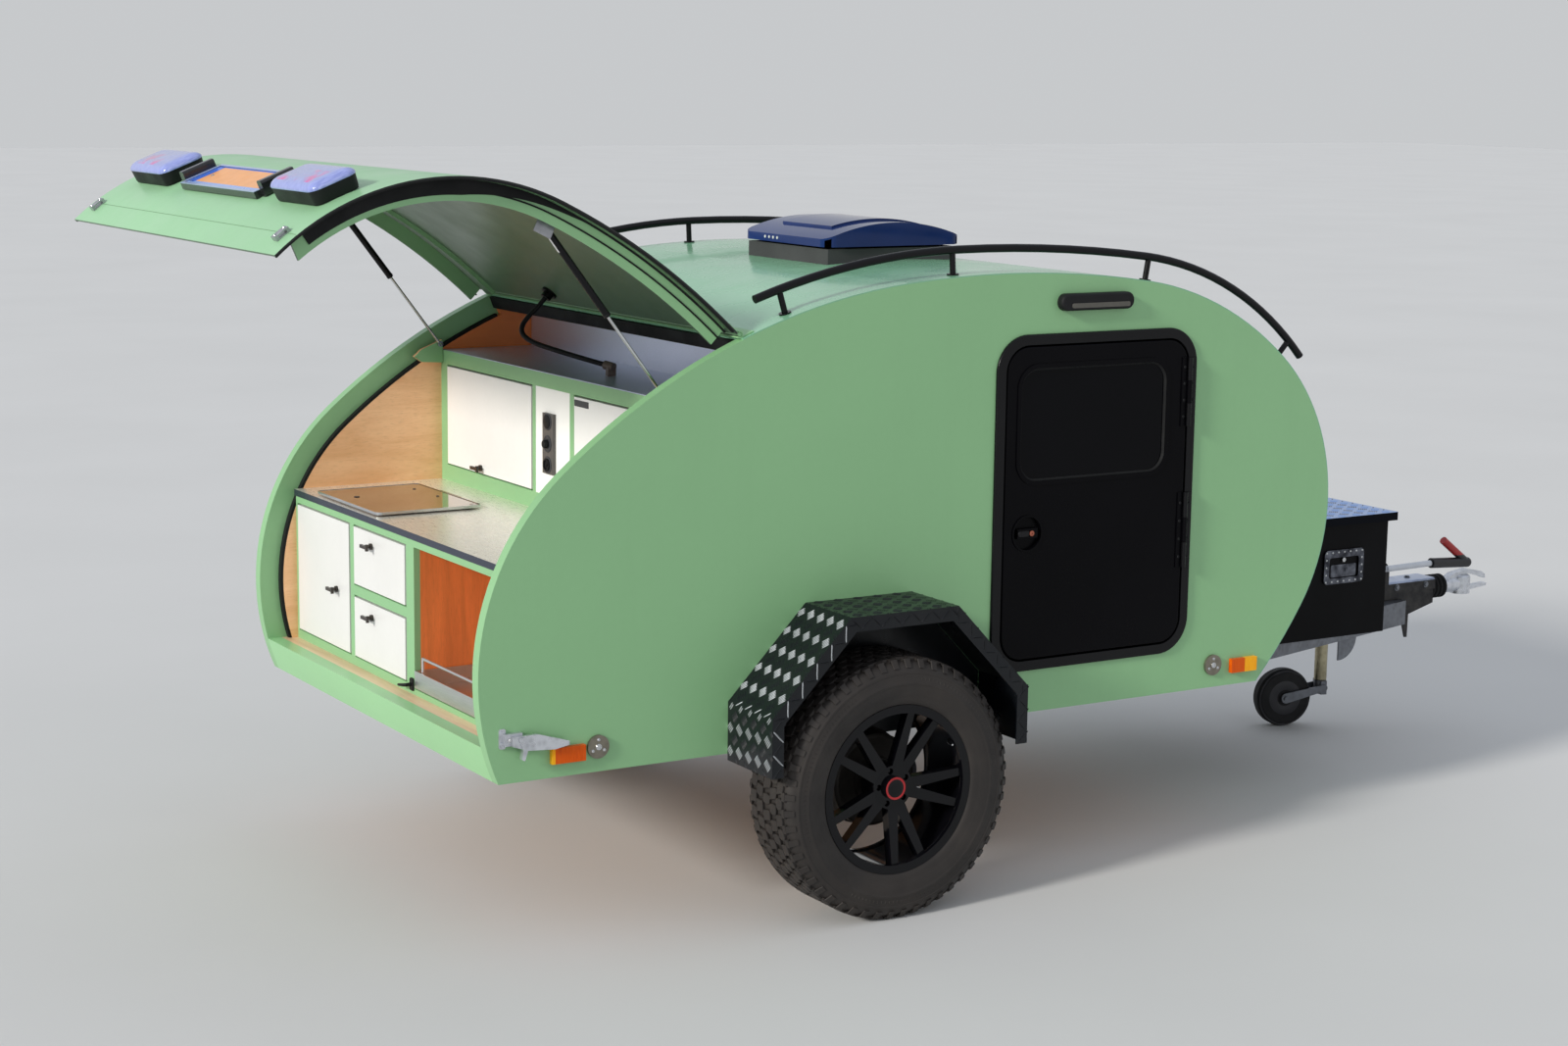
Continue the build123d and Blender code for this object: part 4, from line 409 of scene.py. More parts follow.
def make_galvanised(name, colour, rough=0.42, dirt=0.5):
    """Zinc with spangles and darker stains."""
    shader = Shader(name, rough, 0.85)
    spangle = shader.add("TexVoronoi")
    spangle.inputs["Scale"].default_value = 60
    shader.join(shader.place, spangle.inputs["Vector"])
    tones = shader.spread(spangle.outputs["Distance"], 0.0, 0.6)
    base = shader.blend(tones, tone(colour, 0.85), tone(colour, 1.12))
    shader.colour(shader.mottled(9, base, tone(colour, 0.45), 5, 0.5, 0.75, dirt))
    shader.uneven(30, rough - 0.1, rough + 0.15)
    shader.grain(160, 3, 0.0005)
    return shader.material


def make_housing():
    """Zinc with painted light: pale blue on its upper faces as a painted highlight and near black below them
    as painted shade.
    """
    shader = Shader("housing_steel", 0.34, 0.7)
    # Pale upper faces are a painted highlight; the dark lower faces are painted shade.
    pale = shader.mottled(30, (0.36, 0.42, 0.56), (0.50, 0.56, 0.70))
    painted_shade = shader.mottled(30, (0.018, 0.018, 0.020), (0.050, 0.048, 0.046))
    shader.colour(shader.blend(shader.over(shader.nz, 0.5), painted_shade, pale))
    shader.grain(160, 3, 0.0005)
    return shader.material


def make_cast(name, rough, colour=BLACK, coat=0.0, peel=260, depth=0.0006, metal=0.0, dust=0.0, specular=0.2):
    """Paint, plastic or rubber with a fine peel and, where dust is given, a film of it."""
    shader = Shader(name, rough, metal, coat, specular)
    base = shader.mottled(3, colour, tone(colour, 1.5), low=0.35)
    if dust:
        base = shader.mottled(6, base, DUST, 6, 0.45, 0.8, dust)
    shader.colour(base)
    shader.uneven(14, rough * 0.85, rough * 1.2)
    shader.grain(peel, 3, depth)
    return shader.material


def make_box():
    """Black textured paint on the box, with the polished plate of its paddle latch."""
    shader = Shader("box_paint", 0.42, specular=0.08)
    base = shader.mottled(5, tone(BLACK, 0.5), BLACK, 5, 0.35, 0.75)
    plate = shader.region((2902, 3066), (-458, -450.4), (621, 731))
    steel = shader.mottled(40, (0.030, 0.032, 0.040), (0.16, 0.17, 0.20), 3, 0.35)
    shader.colour(shader.blend(plate, base, steel))
    shader.feed(plate, shader.bsdf.inputs["Metallic"])
    shader.rough(shader.spread(plate, 0.0, 1.0, 0.42, 0.2))
    shader.grain(420, 3, 0.0007)
    return shader.material


def make_rubber(name, colour, rough, film):
    """Rubber with a pale film of dirt."""
    shader = Shader(name, rough, specular=0.3)
    shader.colour(shader.mottled(7, colour, film, 6, 0.42, 0.75, 0.30))
    shader.uneven(18, rough - 0.08, rough + 0.14)
    shader.grain(300, 3, 0.0005, 0.35)
    return shader.material


def make_glass(name, colour, rough, coat, specular):
    """Dark glossy glass or acrylic with a faint film."""
    shader = Shader(name, rough, coat=coat, specular=specular)
    shader.colour(shader.mottled(5, colour, tone(colour, 1.8), 4, 0.4, 0.75, 0.35))
    shader.uneven(12, rough, rough + 0.05, low=0.35)
    return shader.material


LAMP_STATION, LAMP_Y, HATCH_RISE = 278, 520, 9
LAMP_FRAME = on_hatch(LAMP_STATION, HATCH_RISE)
LAMP_ORIGIN = LAMP_FRAME.translation.xz


def make_lamp():
    """Bluish clear lens over pink and red fields."""
    shader = Shader("lamp_lens", 0.10, coat=0.4)
    along = shader.above(LAMP_ORIGIN, LAMP_FRAME.col[0].xz)
    across = shader.math("SUBTRACT", shader.away(shader.y), LAMP_Y / 1000)
    ribs = shader.noise(46, 2, (1.0, 12.0, 1.0))
    lines = shader.spread(ribs, 0.35, 0.65)
    clear = shader.blend(lines, (0.20, 0.24, 0.56), (0.33, 0.38, 0.72))
    red = shader.blend(lines, (0.46, 0.05, 0.28), (0.66, 0.10, 0.40))
    zone = shader.both(shader.within(across, -0.105, 0.100), shader.within(along, -46, 14))
    patch = shader.spread(shader.noise(17, 3), 0.46, 0.60)
    shader.colour(shader.blend(shader.both(zone, patch), clear, red))
    shader.bump(ribs, 0.001, 0.3)
    return shader.material


def make_holder():
    """Glossy black holder whose outward rims catch the light."""
    shader = Shader("holder_plastic", 0.22, coat=0.2)
    height = shader.above(LAMP_ORIGIN, LAMP_FRAME.col[2].xz)
    rim = shader.both(shader.within(height, 16.5, 19), shader.under(shader.away(shader.y), 0.266))
    black = shader.blend(shader.noise(30), (0.008, 0.008, 0.009), (0.018, 0.018, 0.020))
    pale = shader.blend(shader.noise(12), (0.24, 0.32, 0.52), (0.36, 0.44, 0.62))
    shader.colour(shader.blend(rim, black, pale))
    return shader.material


def make_amber():
    """Ribbed amber lens: light on the front marker and on the rear marker's rim, where it is a painted
    highlight; deep elsewhere, darkened in part as painted shadow of the latch.
    """
    shader = Shader("amber_lens", 0.22, specular=0.2)
    ribs = shader.noise(30, 2, (18.0, 1.0, 1.0))
    lines = shader.spread(ribs, 0.35, 0.65)
    # The deep amber is the rear marker's lens colour, darkened in part as painted shadow of the latch.
    deep = shader.blend(lines, (0.62, 0.075, 0.001), (0.74, 0.11, 0.002))
    light = shader.blend(lines, (0.95, 0.36, 0.006), (1.0, 0.48, 0.012))
    front = shader.over(shader.x, drawn(FRONT_MARKER))
    # The light amber on the rear marker's rim is a painted highlight on its edge.
    rim = shader.region((130, 148.5))
    shader.colour(shader.blend(shader.math("MAXIMUM", front, rim), deep, light))
    shader.bump(ribs, 0.0012, 0.4)
    return shader.material


def make_brake():
    """Bright rod, black grip and elbow, red raised end."""
    shader = Shader("brake_lever_faces", 0.34)
    steel = shader.blend(shader.noise(40), (0.50, 0.53, 0.58), (0.66, 0.69, 0.74))
    black = shader.blend(shader.noise(60), (0.008, 0.008, 0.010), (0.018, 0.018, 0.022))
    red = shader.blend(shader.noise(30), (0.30, 0.010, 0.012), (0.42, 0.018, 0.018))
    raised = shader.both(shader.over(shader.z, LEVER_RAISED / 1000), shader.over(shader.x, drawn(LEVER_END)))
    base = shader.blend(shader.under(shader.x, drawn(LEVER_ROD)), black, steel)
    shader.colour(shader.blend(raised, base, red))
    return shader.material


def make_bright():
    """Polished steel of rods, screws and rivets."""
    shader = Shader("bright_steel", 0.16, 1.0)
    colour = (0.66, 0.67, 0.68)
    shader.colour(shader.mottled(12, colour, tone(colour, 0.8), low=0.35))
    shader.uneven(40, 0.112, 0.24)
    return shader.material


def make_plain(name, colour, rough=0.4, metal=0.0, grain=0.12):
    """Small painted, printed or cast parts with slight mottling."""
    shader = Shader(name, rough, metal)
    shader.colour(shader.mottled(35, tone(colour, 1 - grain), tone(colour, 1 + grain)))
    shader.uneven(24, rough * 0.85, min(rough * 1.2, 1), 3)
    return shader.material


def put(material, *names):
    for name in names:
        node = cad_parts[name]
        if node.material_slots:
            for place in node.material_slots:
                place.material = material
        else:
            node.data.materials.append(material)


def fold(shader):
    """The folded rear edge of the worktop."""
    return shader.under(shader.x, drawn(WORKTOP_FOLD))


def rim_below(shader):
    """The sides of the box lid, below its top."""
    return shader.under(shader.z, LID_TOP / 1000)


wall_paint = make_wall()
# The box given here, above the upper cabinet, gets the painted shade.
oak = make_oak("oak_lining", (1.4, 16.0, 9.0), ((509, 830), None, (1334, 1700)))
floor_wood = make_oak("floor_board")
black_door = make_cast("door_gelcoat", 0.30, (0.0016, 0.0015, 0.0022), peel=190, depth=0.0008, specular=0.07)
black_frame = make_cast("door_frame_paint", 0.24, (0.0035, 0.0035, 0.0042))
black_gloss = make_cast("black_gloss", 0.10, (0.0022, 0.0022, 0.0032), 0.10, depth=0.0002)
black_plate = make_cast("black_treadplate", 0.30, (0.0040, 0.0052, 0.0070), peel=300, depth=0.0003, dust=0.04,
                        specular=0.28)
# Painted glint: bright metallic bars of one turn stand in for the sun catching the fender's tread.
glint_plate = make_cast("glint_treadplate", 0.30, (0.34, 0.36, 0.38), peel=300, depth=0.0003, metal=0.5,
                       specular=0.5)
# Painted reflection: dark blue bars of one turn on the lid.
lid_bar_metal = make_cast("lid_bar_metal", 0.35, (0.060, 0.080, 0.140), peel=300, depth=0.0003, metal=0.4,
                          specular=0.4)
black_plastic = make_cast("black_plastic", 0.5, (0.0075, 0.0075, 0.0085), peel=500, depth=0.0008)
black_rubber = make_cast("black_rubber", 0.7, (0.0075, 0.0078, 0.0082), peel=400, depth=0.0008)
grey_plastic = make_cast("grey_plastic", 0.5, (0.05, 0.05, 0.052), peel=400)
dark_plastic = make_cast("dark_plastic", 0.35, (0.035, 0.036, 0.042), peel=400, specular=0.4)
tyre_rubber = make_rubber("tyre_rubber", (0.024, 0.021, 0.0195), 0.55, (0.070, 0.058, 0.049))
rubber_grey = make_rubber("jockey_rubber", (0.006, 0.006, 0.007), 0.6, (0.016, 0.015, 0.014))
# The galvanised colour is darkened as painted shade of the chassis, axle and fork.
galvanised = make_galvanised("galvanised_steel", (0.17, 0.18, 0.20))
yellow_zinc = make_galvanised("yellow_zinc", (0.40, 0.36, 0.24), 0.38, 0.6)
zinc = make_galvanised("bright_zinc", (0.60, 0.62, 0.66), 0.28, 0.3)
bright = make_bright()
# The worktop steel is lightened to a warm near-white as a painted highlight of the sun.
steel_top = make_brushed("worktop_steel", (0.96, 0.90, 0.82), (30.0, 1.0, 30.0), 0.30, 0.55, fold)
# The shelf aluminium is tinted blue as a painted sky reflection.
liner_metal = make_brushed("shelf_aluminium", (0.72, 0.76, 0.92), (1.0, 24.0, 24.0), metal=0.8)
# The lid aluminium is tinted blue as a painted sky reflection.
lid_metal = make_brushed("lid_aluminium", (0.37, 0.52, 0.84), (24.0, 1.0, 24.0), dark=rim_below,
                         deep=(0.006, 0.007, 0.010))
tray_metal = make_brushed("tray_aluminium", (0.70, 0.70, 0.71), (30.0, 1.0, 30.0))
# The vent lid's blue is a painted sky reflection on dark smoked plastic.
vent_plastic = make_glass("vent_smoked", (0.010, 0.026, 0.110), 0.09, 0.0, 0.22)
pane = make_glass("door_pane", (0.0012, 0.0012, 0.0020), 0.05, 0.0, 0.10)
# The hob glass's brown is a painted reflection of the oak lining on dark glass.
hob_glass = make_glass("hob_glass", (0.150, 0.066, 0.028), 0.05, 0.6, 0.8)
lamp_lens = make_lamp()
copper = make_plain("lock_copper", (0.42, 0.13, 0.08), 0.3, 0.8)
red_ring = make_plain("ring_red", (0.36, 0.008, 0.012), 0.3)
white_label = make_plain("label_white", (0.70, 0.70, 0.70), 0.5, grain=0.04)
plate_orange = make_plain("plate_orange", (0.78, 0.36, 0.13), 0.35, grain=0.05)
plate_blue = make_plain("plate_blue", (0.045, 0.145, 0.62), 0.3, grain=0.08)
plate_pale = make_plain("plate_pale", (0.26, 0.38, 0.72), 0.25, grain=0.06)
lamp_clear = make_plain("porch_lens", (0.085, 0.080, 0.068), 0.2)
dot_light = make_plain("vent_dots", (0.62, 0.62, 0.60), 0.3)
wheel_grey = make_plain("jockey_grey", (0.012, 0.012, 0.016))
drum_iron = make_plain("drum_iron", (0.016, 0.013, 0.010), 0.6, 0.4, 0.3)
# Darker green for painted shade in the hatch's fold lines.
seam_shade_green = make_plain("seam_shade_green", tone(GREEN, 0.55), 0.5)

put(galvanised, "chassis_frame", "axle", "jockey_fork")
put(make_housing(), "overrun_housing")
put(yellow_zinc, "jockey_clamp", "jockey_leg")
put(zinc, "coupling_head", "hatch_latches")
put(make_fittings(), "galley_fittings")
put(make_hatch_fittings(), "hatch_fittings")
put(floor_wood, "floor_panel", "bulkhead")
put(wall_paint, "side_wall_right", "side_wall_left")
put(make_green("green_roof", 0.26, 0.25, ROOF_SKY_GREEN), "roof_shell")
put(make_green("green_wall", 0.40), "hinge_rail")
put(make_valance(), "rear_valance")
put(oak, "wall_linings")
put(steel_top, "worktop")
put(hob_glass, "hob_lid")
put(make_lower_cabinet(), "lower_cabinet")
put(make_upper_cabinet(), "upper_cabinet")
put(liner_metal, "shelf_liner")
put(lid_metal, "box_lid")
put(black_rubber, "hatch_seal", "bellows")
put(black_frame, "roof_rails", "door_frames", "strut_cylinder_right", "strut_cylinder_left")
put(grey_plastic, "vent_base")
put(vent_plastic, "vent_lid")
put(black_plate, "fenders")
put(make_box(), "drawbar_box")
put(make_brake(), "handbrake_lever")
put(make_holder(), "plate_holder")
put(black_plastic, "porch_lamps", "conduit", "tail_lamps")
put(rubber_grey, "jockey_wheel")
put(black_door, "door_right", "door_left")
put(pane, "door_glass_right", "door_glass_left")
put(make_amber(), "side_markers")
put(make_galvanised("tie_disc_steel", (0.22, 0.20, 0.16), 0.36), "tie_discs")
put(make_hatch(), "hatch_shell")
put(bright, "strut_rod_right", "strut_rod_left")
put(black_gloss, "wheel_right", "wheel_left")
put(tyre_rubber, "tyre_right", "tyre_left")
put(tray_metal, "pull_out_tray")
put(make_fronts("lower_fronts", 71, 52), "drawer_upper", "drawer_lower", "cabinet_door")
put(make_fronts("upper_fronts", 522, 504, (0.86, 0.86, 0.84)), "flap_left", "flap_right")


# Small forms, built in drawing millimetres

def rounded(width, height, radius, steps=5):
    """Corners of a rounded rectangle about the origin, counter-clockwise."""
    points = []
    for cx, cy, start in ((1, 1, 0), (-1, 1, 90), (-1, -1, 180), (1, -1, 270)):
        for step in range(steps + 1):
            angle = math.radians(start + 90 * step / steps)
            points.append((cx * (width / 2 - radius) + radius * math.cos(angle),
                           cy * (height / 2 - radius) + radius * math.sin(angle)))
    return points


class Shape:
    """Collects many small solids and turns them into one piece that rides on a body."""

    def __init__(self, *materials):
        self.mesh = bmesh.new()
        self.materials = materials
        self.index = 0

    def solid(self, points, faces, place=None):
        verts = [self.mesh.verts.new(place @ Vector(p) if place else Vector(p)) for p in points]
        for ring in faces:
            face = self.mesh.faces.new([verts[number] for number in ring])
            face.material_index = self.index
        return verts

    def strip(self, rows, place=None, caps=True):
        """A closed section carried through rows of points, capped at both ends where asked."""
        count = len(rows[0])
        last = (len(rows) - 1) * count
        faces = [(row + n, row + (n + 1) % count, row + count + (n + 1) % count, row + count + n)
                 for row in range(0, last, count) for n in range(count)]
        if caps:
            faces += [tuple(reversed(range(count))), tuple(range(last, last + count))]
        self.solid([point for row in rows for point in row], faces, place)

    def prism(self, outline, low, high, place, chamfer=0.0):
        """A plate on an outline drawn in the frame's x and y, its upper edge chamfered."""
        middle = sum((Vector(p) for p in outline), Vector((0, 0))) / len(outline)
        levels = [(low, 0.0), (high - chamfer, 0.0)] + ([(high, chamfer)] if chamfer else [])
        rows = []
        for level, inset in levels:
            arms = [Vector(p) - middle for p in outline]
            spots = [middle + arm * max(0.0, 1 - inset / max(arm.length, 1e-6)) for arm in arms]
            rows.append([(*spot, level) for spot in spots])
        self.strip(rows, place)

    def loft(self, height, width, corner, levels, place):
        """Rounded rectangles stacked up the frame's z, each with its inset and level."""
        self.strip([[(x, y, level) for x, y in
                     rounded(height - 2 * inset, width - 2 * inset, max(corner - inset, 6), 6)]
                    for inset, level in levels], place)

    def lathe(self, profile, place, steps=32, turn=math.tau, caps=True):
        """Turns a profile of radius and height about the frame's z."""
        closed = turn > math.tau - 0.01
        count = steps if closed else steps + 1
        size = len(profile)
        points = []
        for step in range(count):
            angle = turn * step / steps
            points += [(r * math.cos(angle), r * math.sin(angle), h) for r, h in profile]
        faces = []
        for step in range(steps):
            here, after = step * size, (step + 1) % count * size
            faces += [(here + n, after + n, after + n + 1, here + n + 1) for n in range(size - 1)]
        if closed and caps:
            ends = [end for end in (0, size - 1) if profile[end][0] > 1e-6]
            faces += [tuple(range(end, count * size, size)) for end in ends]
        self.solid(points, faces, place)

    def screw(self, place, radius, rise):
        """A domed screw head with a recess."""
        self.lathe([(radius, 0), (radius, rise * 0.35), (radius * 0.72, rise), (radius * 0.34, rise),
                    (radius * 0.28, rise * 0.45), (0.0001, rise * 0.4)], place, 14)

    def bolt(self, place, radius, rise):
        """A hexagon head on a washer."""
        self.lathe([(radius * 1.35, 0), (radius * 1.35, rise * 0.22), (radius * 0.9, rise * 0.25)], place, 18)
        corners = [math.radians(60 * n) for n in range(6)]
        hexagon = [(radius * math.cos(angle), radius * math.sin(angle)) for angle in corners]
        self.prism(hexagon, rise * 0.2, rise, place, radius * 0.14)

    def bar(self, place, length, width, rise):
        """One raised bar of tread plate: pointed at both ends."""
        tip, neck, edge, top = length / 2, length / 3.4, width / 2, width * 0.175
        points = [(-tip, 0, 0), (-neck, -edge, 0), (neck, -edge, 0), (tip, 0, 0), (neck, edge, 0),
                  (-neck, edge, 0), (-neck, -top, rise), (neck, -top, rise), (neck, top, rise),
                  (-neck, top, rise)]
        faces = [(6, 7, 8, 9), (0, 1, 6), (5, 0, 9), (0, 6, 9), (1, 2, 7, 6), (2, 3, 7), (3, 4, 8), (3, 8, 7),
                 (4, 5, 9, 8)]
        self.solid(points, faces, place)

    def tube(self, points, radii, steps):
        """A round tube through points, with a radius at each."""
        path = [Vector(p) for p in points]
        turns = [math.tau * n / steps for n in range(steps)]
        side = None
        rings = []
        for number, (point, radius) in enumerate(zip(path, radii)):
            before, after = path[max(number - 1, 0)], path[min(number + 1, len(path) - 1)]
            along = (after - before).normalized()
            if side is None:
                side = along.orthogonal().normalized()
            side = (side - along * side.dot(along)).normalized()
            other = along.cross(side)
            arms = [side * math.cos(turn) + other * math.sin(turn) for turn in turns]
            rings.append([point + arm * radius for arm in arms])
        self.strip(rings)

    def finish(self, name, body, slot, angle=35):
        bmesh.ops.recalc_face_normals(self.mesh, faces=self.mesh.faces)
        self.mesh.transform(Matrix.Translation((SHIFT / 1000, 0, 0)) @ Matrix.Scale(0.001, 4))
        data = bpy.data.meshes.new(name)
        self.mesh.to_mesh(data)
        self.mesh.free()
        for material in self.materials:
            data.materials.append(material)
        data.shade_smooth()
        data.set_sharp_from_angle(angle=math.radians(angle))
        piece = bpy.data.objects.new(name, data)
        bpy.context.scene.collection.objects.link(piece)
        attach(piece, body)
        return piece


# Tread plate bars on the fenders and on the box lid

TREAD_ACROSS, TREAD_ALONG, TREAD_GAP, TREAD_TURN = 46, 60, 5.6, math.radians(47)
TREAD_BAR, EDGE_BAR = (25, 3.6, 1.3), (22, 3.4, 1.2)


def tread(shape, place, width, start, end, margin=4, painted_light_by_turn=True):
    """Groups of five bars, turned in turn, on a strip of a plate from start to end; where asked, the bars of
    one turn take the second material: painted glint on the fenders, painted reflection on the lid.
    """
    for row in range(int(start / TREAD_ALONG * 2) - 1, int(end / TREAD_ALONG * 2) + 2):
        angle = -TREAD_TURN if row % 2 else TREAD_TURN
        shape.index = row % 2 if painted_light_by_turn else 0
        for column in range(int(width / TREAD_ACROSS) + 2):
            for number in range(-2, 3):
                x = (column + row % 2 / 2) * TREAD_ACROSS - math.sin(angle) * number * TREAD_GAP
                y = row * TREAD_ALONG / 2 + math.cos(angle) * number * TREAD_GAP
                if margin < x < width - margin and start + margin < y < end - margin:
                    shape.bar(place @ move(x, y - start, 0) @ about(angle), *TREAD_BAR)


def edge_tread(shape, edge, side, length, painted_light_by_turn):
    """Groups of five bars along the fender's outer edge; where asked, the bars of one turn take the painted
    glint.
    """
    first, pitch, middle = 15, 30, 18
    for group in range(math.ceil((length - first - 10) / pitch)):
        angle = TREAD_TURN if group % 2 else -TREAD_TURN
        shape.index = group % 2 if painted_light_by_turn else 0
        for number in range(-2, 3):
            x = first + pitch * group - math.sin(angle) * number * TREAD_GAP
            y = side * (middle + math.cos(angle) * number * TREAD_GAP)
            if 3 < x < length - 3:
                shape.bar(edge @ move(x, y, 0) @ about(angle), *EDGE_BAR)


def outset_path(points, distance):
    """The same bent line moved to its left."""
    lines = []
    for a, b in zip(points, points[1:]):
        along = (Vector(b) - Vector(a)).normalized()
        away = Vector((-along.y, along.x)) * distance
        lines.append((Vector(a) + away, along))
    moved = [lines[0][0]]
    for (p, d), (q, e) in zip(lines, lines[1:]):
        share = ((q - p).x * e.y - (q - p).y * e.x) / (d.x * e.y - d.y * e.x)
        moved.append(p + d * share)
    moved.append(Vector(points[-1]) + (lines[-1][0] - Vector(points[-2])))
    return moved


FENDER = [(-385, 423), (-385, 574), (-161, 805), (161, 805), (385, 574), (385, 423)]
# The first two panels, at the rear, carry bars with a painted glint.
FENDER_FACE, FENDER_SKIN, GLINT_PANELS = 963, 4, 2
ARCH_SHARE, SPLASH_LOW = 0.995, 441
WHEEL_X, WHEEL_Y, TYRE_R = 1030, 858, 343
for side_name, side in SIDES:
    plate = Shape(black_plate, glint_plate)
    corners = outset_path([(x + WHEEL_X, z) for x, z in FENDER], FENDER_SKIN)
    run = 0
    for number, (a, b) in enumerate(zip(corners, corners[1:])):
        painted_light_by_turn = number < GLINT_PANELS
        length = (b - a).length
        along = (b - a).normalized()
        across = axes((a.x, min(side * FENDER_FACE, side * HALF), a.y), (0, 1, 0), (-along.y, 0, along.x))
        across = across @ Matrix.Diagonal((1, -1, 1, 1))
        tread(plate, across, FENDER_FACE - HALF, run, run + length, painted_light_by_turn=painted_light_by_turn)
        edge = axes((a.x, side * FENDER_FACE, a.y), (along.x, 0, along.y), (0, side, 0))
        edge_tread(plate, edge, side, length, painted_light_by_turn)
        run += length
    plate.index = 0
    arch = [(x * ARCH_SHARE, max(z, SPLASH_LOW)) for x, z in FENDER]
    plate.prism(arch, 0.2, 1.6, side_frame(WHEEL_X, HALF, 0, side) @ Matrix.Diagonal((1, -side, 1, 1)))
    plate.finish(f"fender_tread_{side_name}", "trailer", "black_paint", 20)

LID_REAR, LID_HALF, LID_HEIGHT, LID_LENGTH = 2668, 468, 832, 512
# The bars of one turn on the lid take the dark blue painted reflection.
lid = Shape(lid_metal, lid_bar_metal)
tread(lid, axes((LID_REAR, LID_HALF, LID_HEIGHT), (0, -1, 0), (0, 0, 1)), 2 * LID_HALF, 0, LID_LENGTH, 6)
lid.finish("lid_tread", "box_lid_body", "aluminium_sheet", 20)

# Tyres: bulged side walls with rings, and an all-terrain tread of separate blocks

TYRE_SIDE = [(221.5, 87), (226, 92), (232, 94), (240, 96.5), (246, 97), (249, 98.6), (252, 99.0), (258, 101),
             (270, 102.4), (276, 102.8), (277, 103.4), (281, 103.4), (282, 102.8), (296, 102.0), (303, 100.6),
             (304, 101.3), (309, 100.6), (310, 99.6), (318, 96.6), (325, 91.6), (331, 84), (335, 76)]
TREAD_ROWS = ((0, 15, 13, 0.0), (32, 13.5, 14, 0.5), (61, 12.5, 14.5, 0.0))
PITCHES, CARCASS, BLOCK_RISE = 52, 334, 8.5
SHOULDER = ((-11.5, -3), (11.5, -1), (12, 9), (-12, 8))
LUG_FOOT = ((337, -9, 83), (337, 9, 83), (318, 8, 96.4), (318, -8, 96.4))
LUG_TOP = ((340, -8, 84), (340, 8, 84), (319, 7, 99), (319, -7, 99))
WALL_BARS, WALL_BAR_GROUP, WALL_BARS_SHOWN = 150, 50, 34
CAP_FACE, WHEEL_BOLTS, BOLT_CIRCLE, BOLT_SEAT, DRUM_BACK = 75, 5, 44, 36, -94
FIRST_BOLT = math.radians(30)


def tread_block(tyre, hub, number, row, hand):
    """One block of the tread, slanted in turn, on one side of the middle."""
    across, w, l, shift = row
    late = 0.12 if hand < 0 else 0
    angle = math.tau * (number + shift + late + 0.04 * math.sin(number * 2.4)) / PITCHES
    slant = 4.5 if (number + (hand > 0)) % 2 else -4.5
    skew = 3.5 * hand
    place = hub @ about(angle) @ axes((CARCASS, 0, across * hand), (0, 0, 1), (1, 0, 0))
    outline = [(-w, -l + slant), (-w * 0.2, -l - 1.5), (w, -l + skew * 0.6), (w * 1.08, l * 0.1),
               (w, l - slant * 0.6), (w * 0.1, l + 1.5), (-w, l - skew * 0.5), (-w * 1.08, -l * 0.2)]
    tyre.prism(outline, 0, BLOCK_RISE, place, 1.4)


def shoulder_block(tyre, hub, number, hand):
    """A block over the edge of the tread, and the lug below it on the side wall."""
    spin = hub @ about(math.tau * (number + 0.5 + 0.03 * math.sin(number * 1.7)) / PITCHES)
    foot = [(CARCASS, x, hand * (74 + y)) for x, y in SHOULDER]
    top = [(CARCASS + 8.4 - 0.22 * (y + 3), x * 0.93, hand * (74 + y)) for x, y in SHOULDER]
    tyre.strip([foot, top], spin)
    tyre.strip([[(r, x, hand * y) for r, x, y in row] for row in (LUG_FOOT, LUG_TOP)], spin)


def dress_tyre(side_name, hub):
    tyre = Shape(tyre_rubber)
    profile = [(r, -y) for r, y in TYRE_SIDE] + [(335, 0)] + [(r, y) for r, y in reversed(TYRE_SIDE)]
    tyre.lathe(profile + profile[:1], hub, 120, caps=False)
    for number in range(PITCHES):
        for row in TREAD_ROWS:
            for hand in ((1,) if row[0] == 0 else (1, -1)):
                tread_block(tyre, hub, number, row, hand)
        for hand in (1, -1):
            shoulder_block(tyre, hub, number, hand)
    for number in range(WALL_BARS):
        if number % WALL_BAR_GROUP < WALL_BARS_SHOWN:
            for hand in (1, -1):
                face = axes((291, 0, hand * 102.2), (1, 0, 0), (0, 0, hand))
                tyre.bar(hub @ about(math.tau * number / WALL_BARS) @ face, 9, 2.2, 0.8)
    made = tyre.finish(f"tyre_tread_{side_name}", f"wheel_{side_name}_body", "tyre_rubber", 30)
    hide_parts(f"tyre_{side_name}")


def dress_rim(side_name, side, hub):
    """Hub cap with a red ring, wheel bolts and valve."""
    rim = Shape(black_gloss, red_ring, bright)
    cap = hub @ move(0, 0, CAP_FACE)
    rim.index = 1
    rim.lathe([(24.0, 0.2), (27.6, 1.5), (28.6, 1.6), (29.4, 0.9), (29.6, 0.1)], cap, 48)
    rim.index = 0
    rim.lathe([(24.0, 0.1), (22.5, 0.9), (12, 1.6), (0.001, 1.8)], cap, 40)
    for number in range(WHEEL_BOLTS):
        turn = -side * (FIRST_BOLT + math.tau * number / WHEEL_BOLTS)
        rim.bolt(hub @ about(turn) @ move(BOLT_CIRCLE, 0, BOLT_SEAT), 5.5, 20)
    rim.index = 2
    valve = hub @ about(-side * FIRST_BOLT)
    stem = ((204, 0, 52), (196, 0, 60), (193, 0, 74), (193, 0, 84))
    rim.tube([valve @ Vector(p) for p in stem], [4.5, 3.6, 3.0, 2.6], 10)
    rim.finish(f"rim_trim_{side_name}", f"wheel_{side_name}_body", "alloy_black", 30)


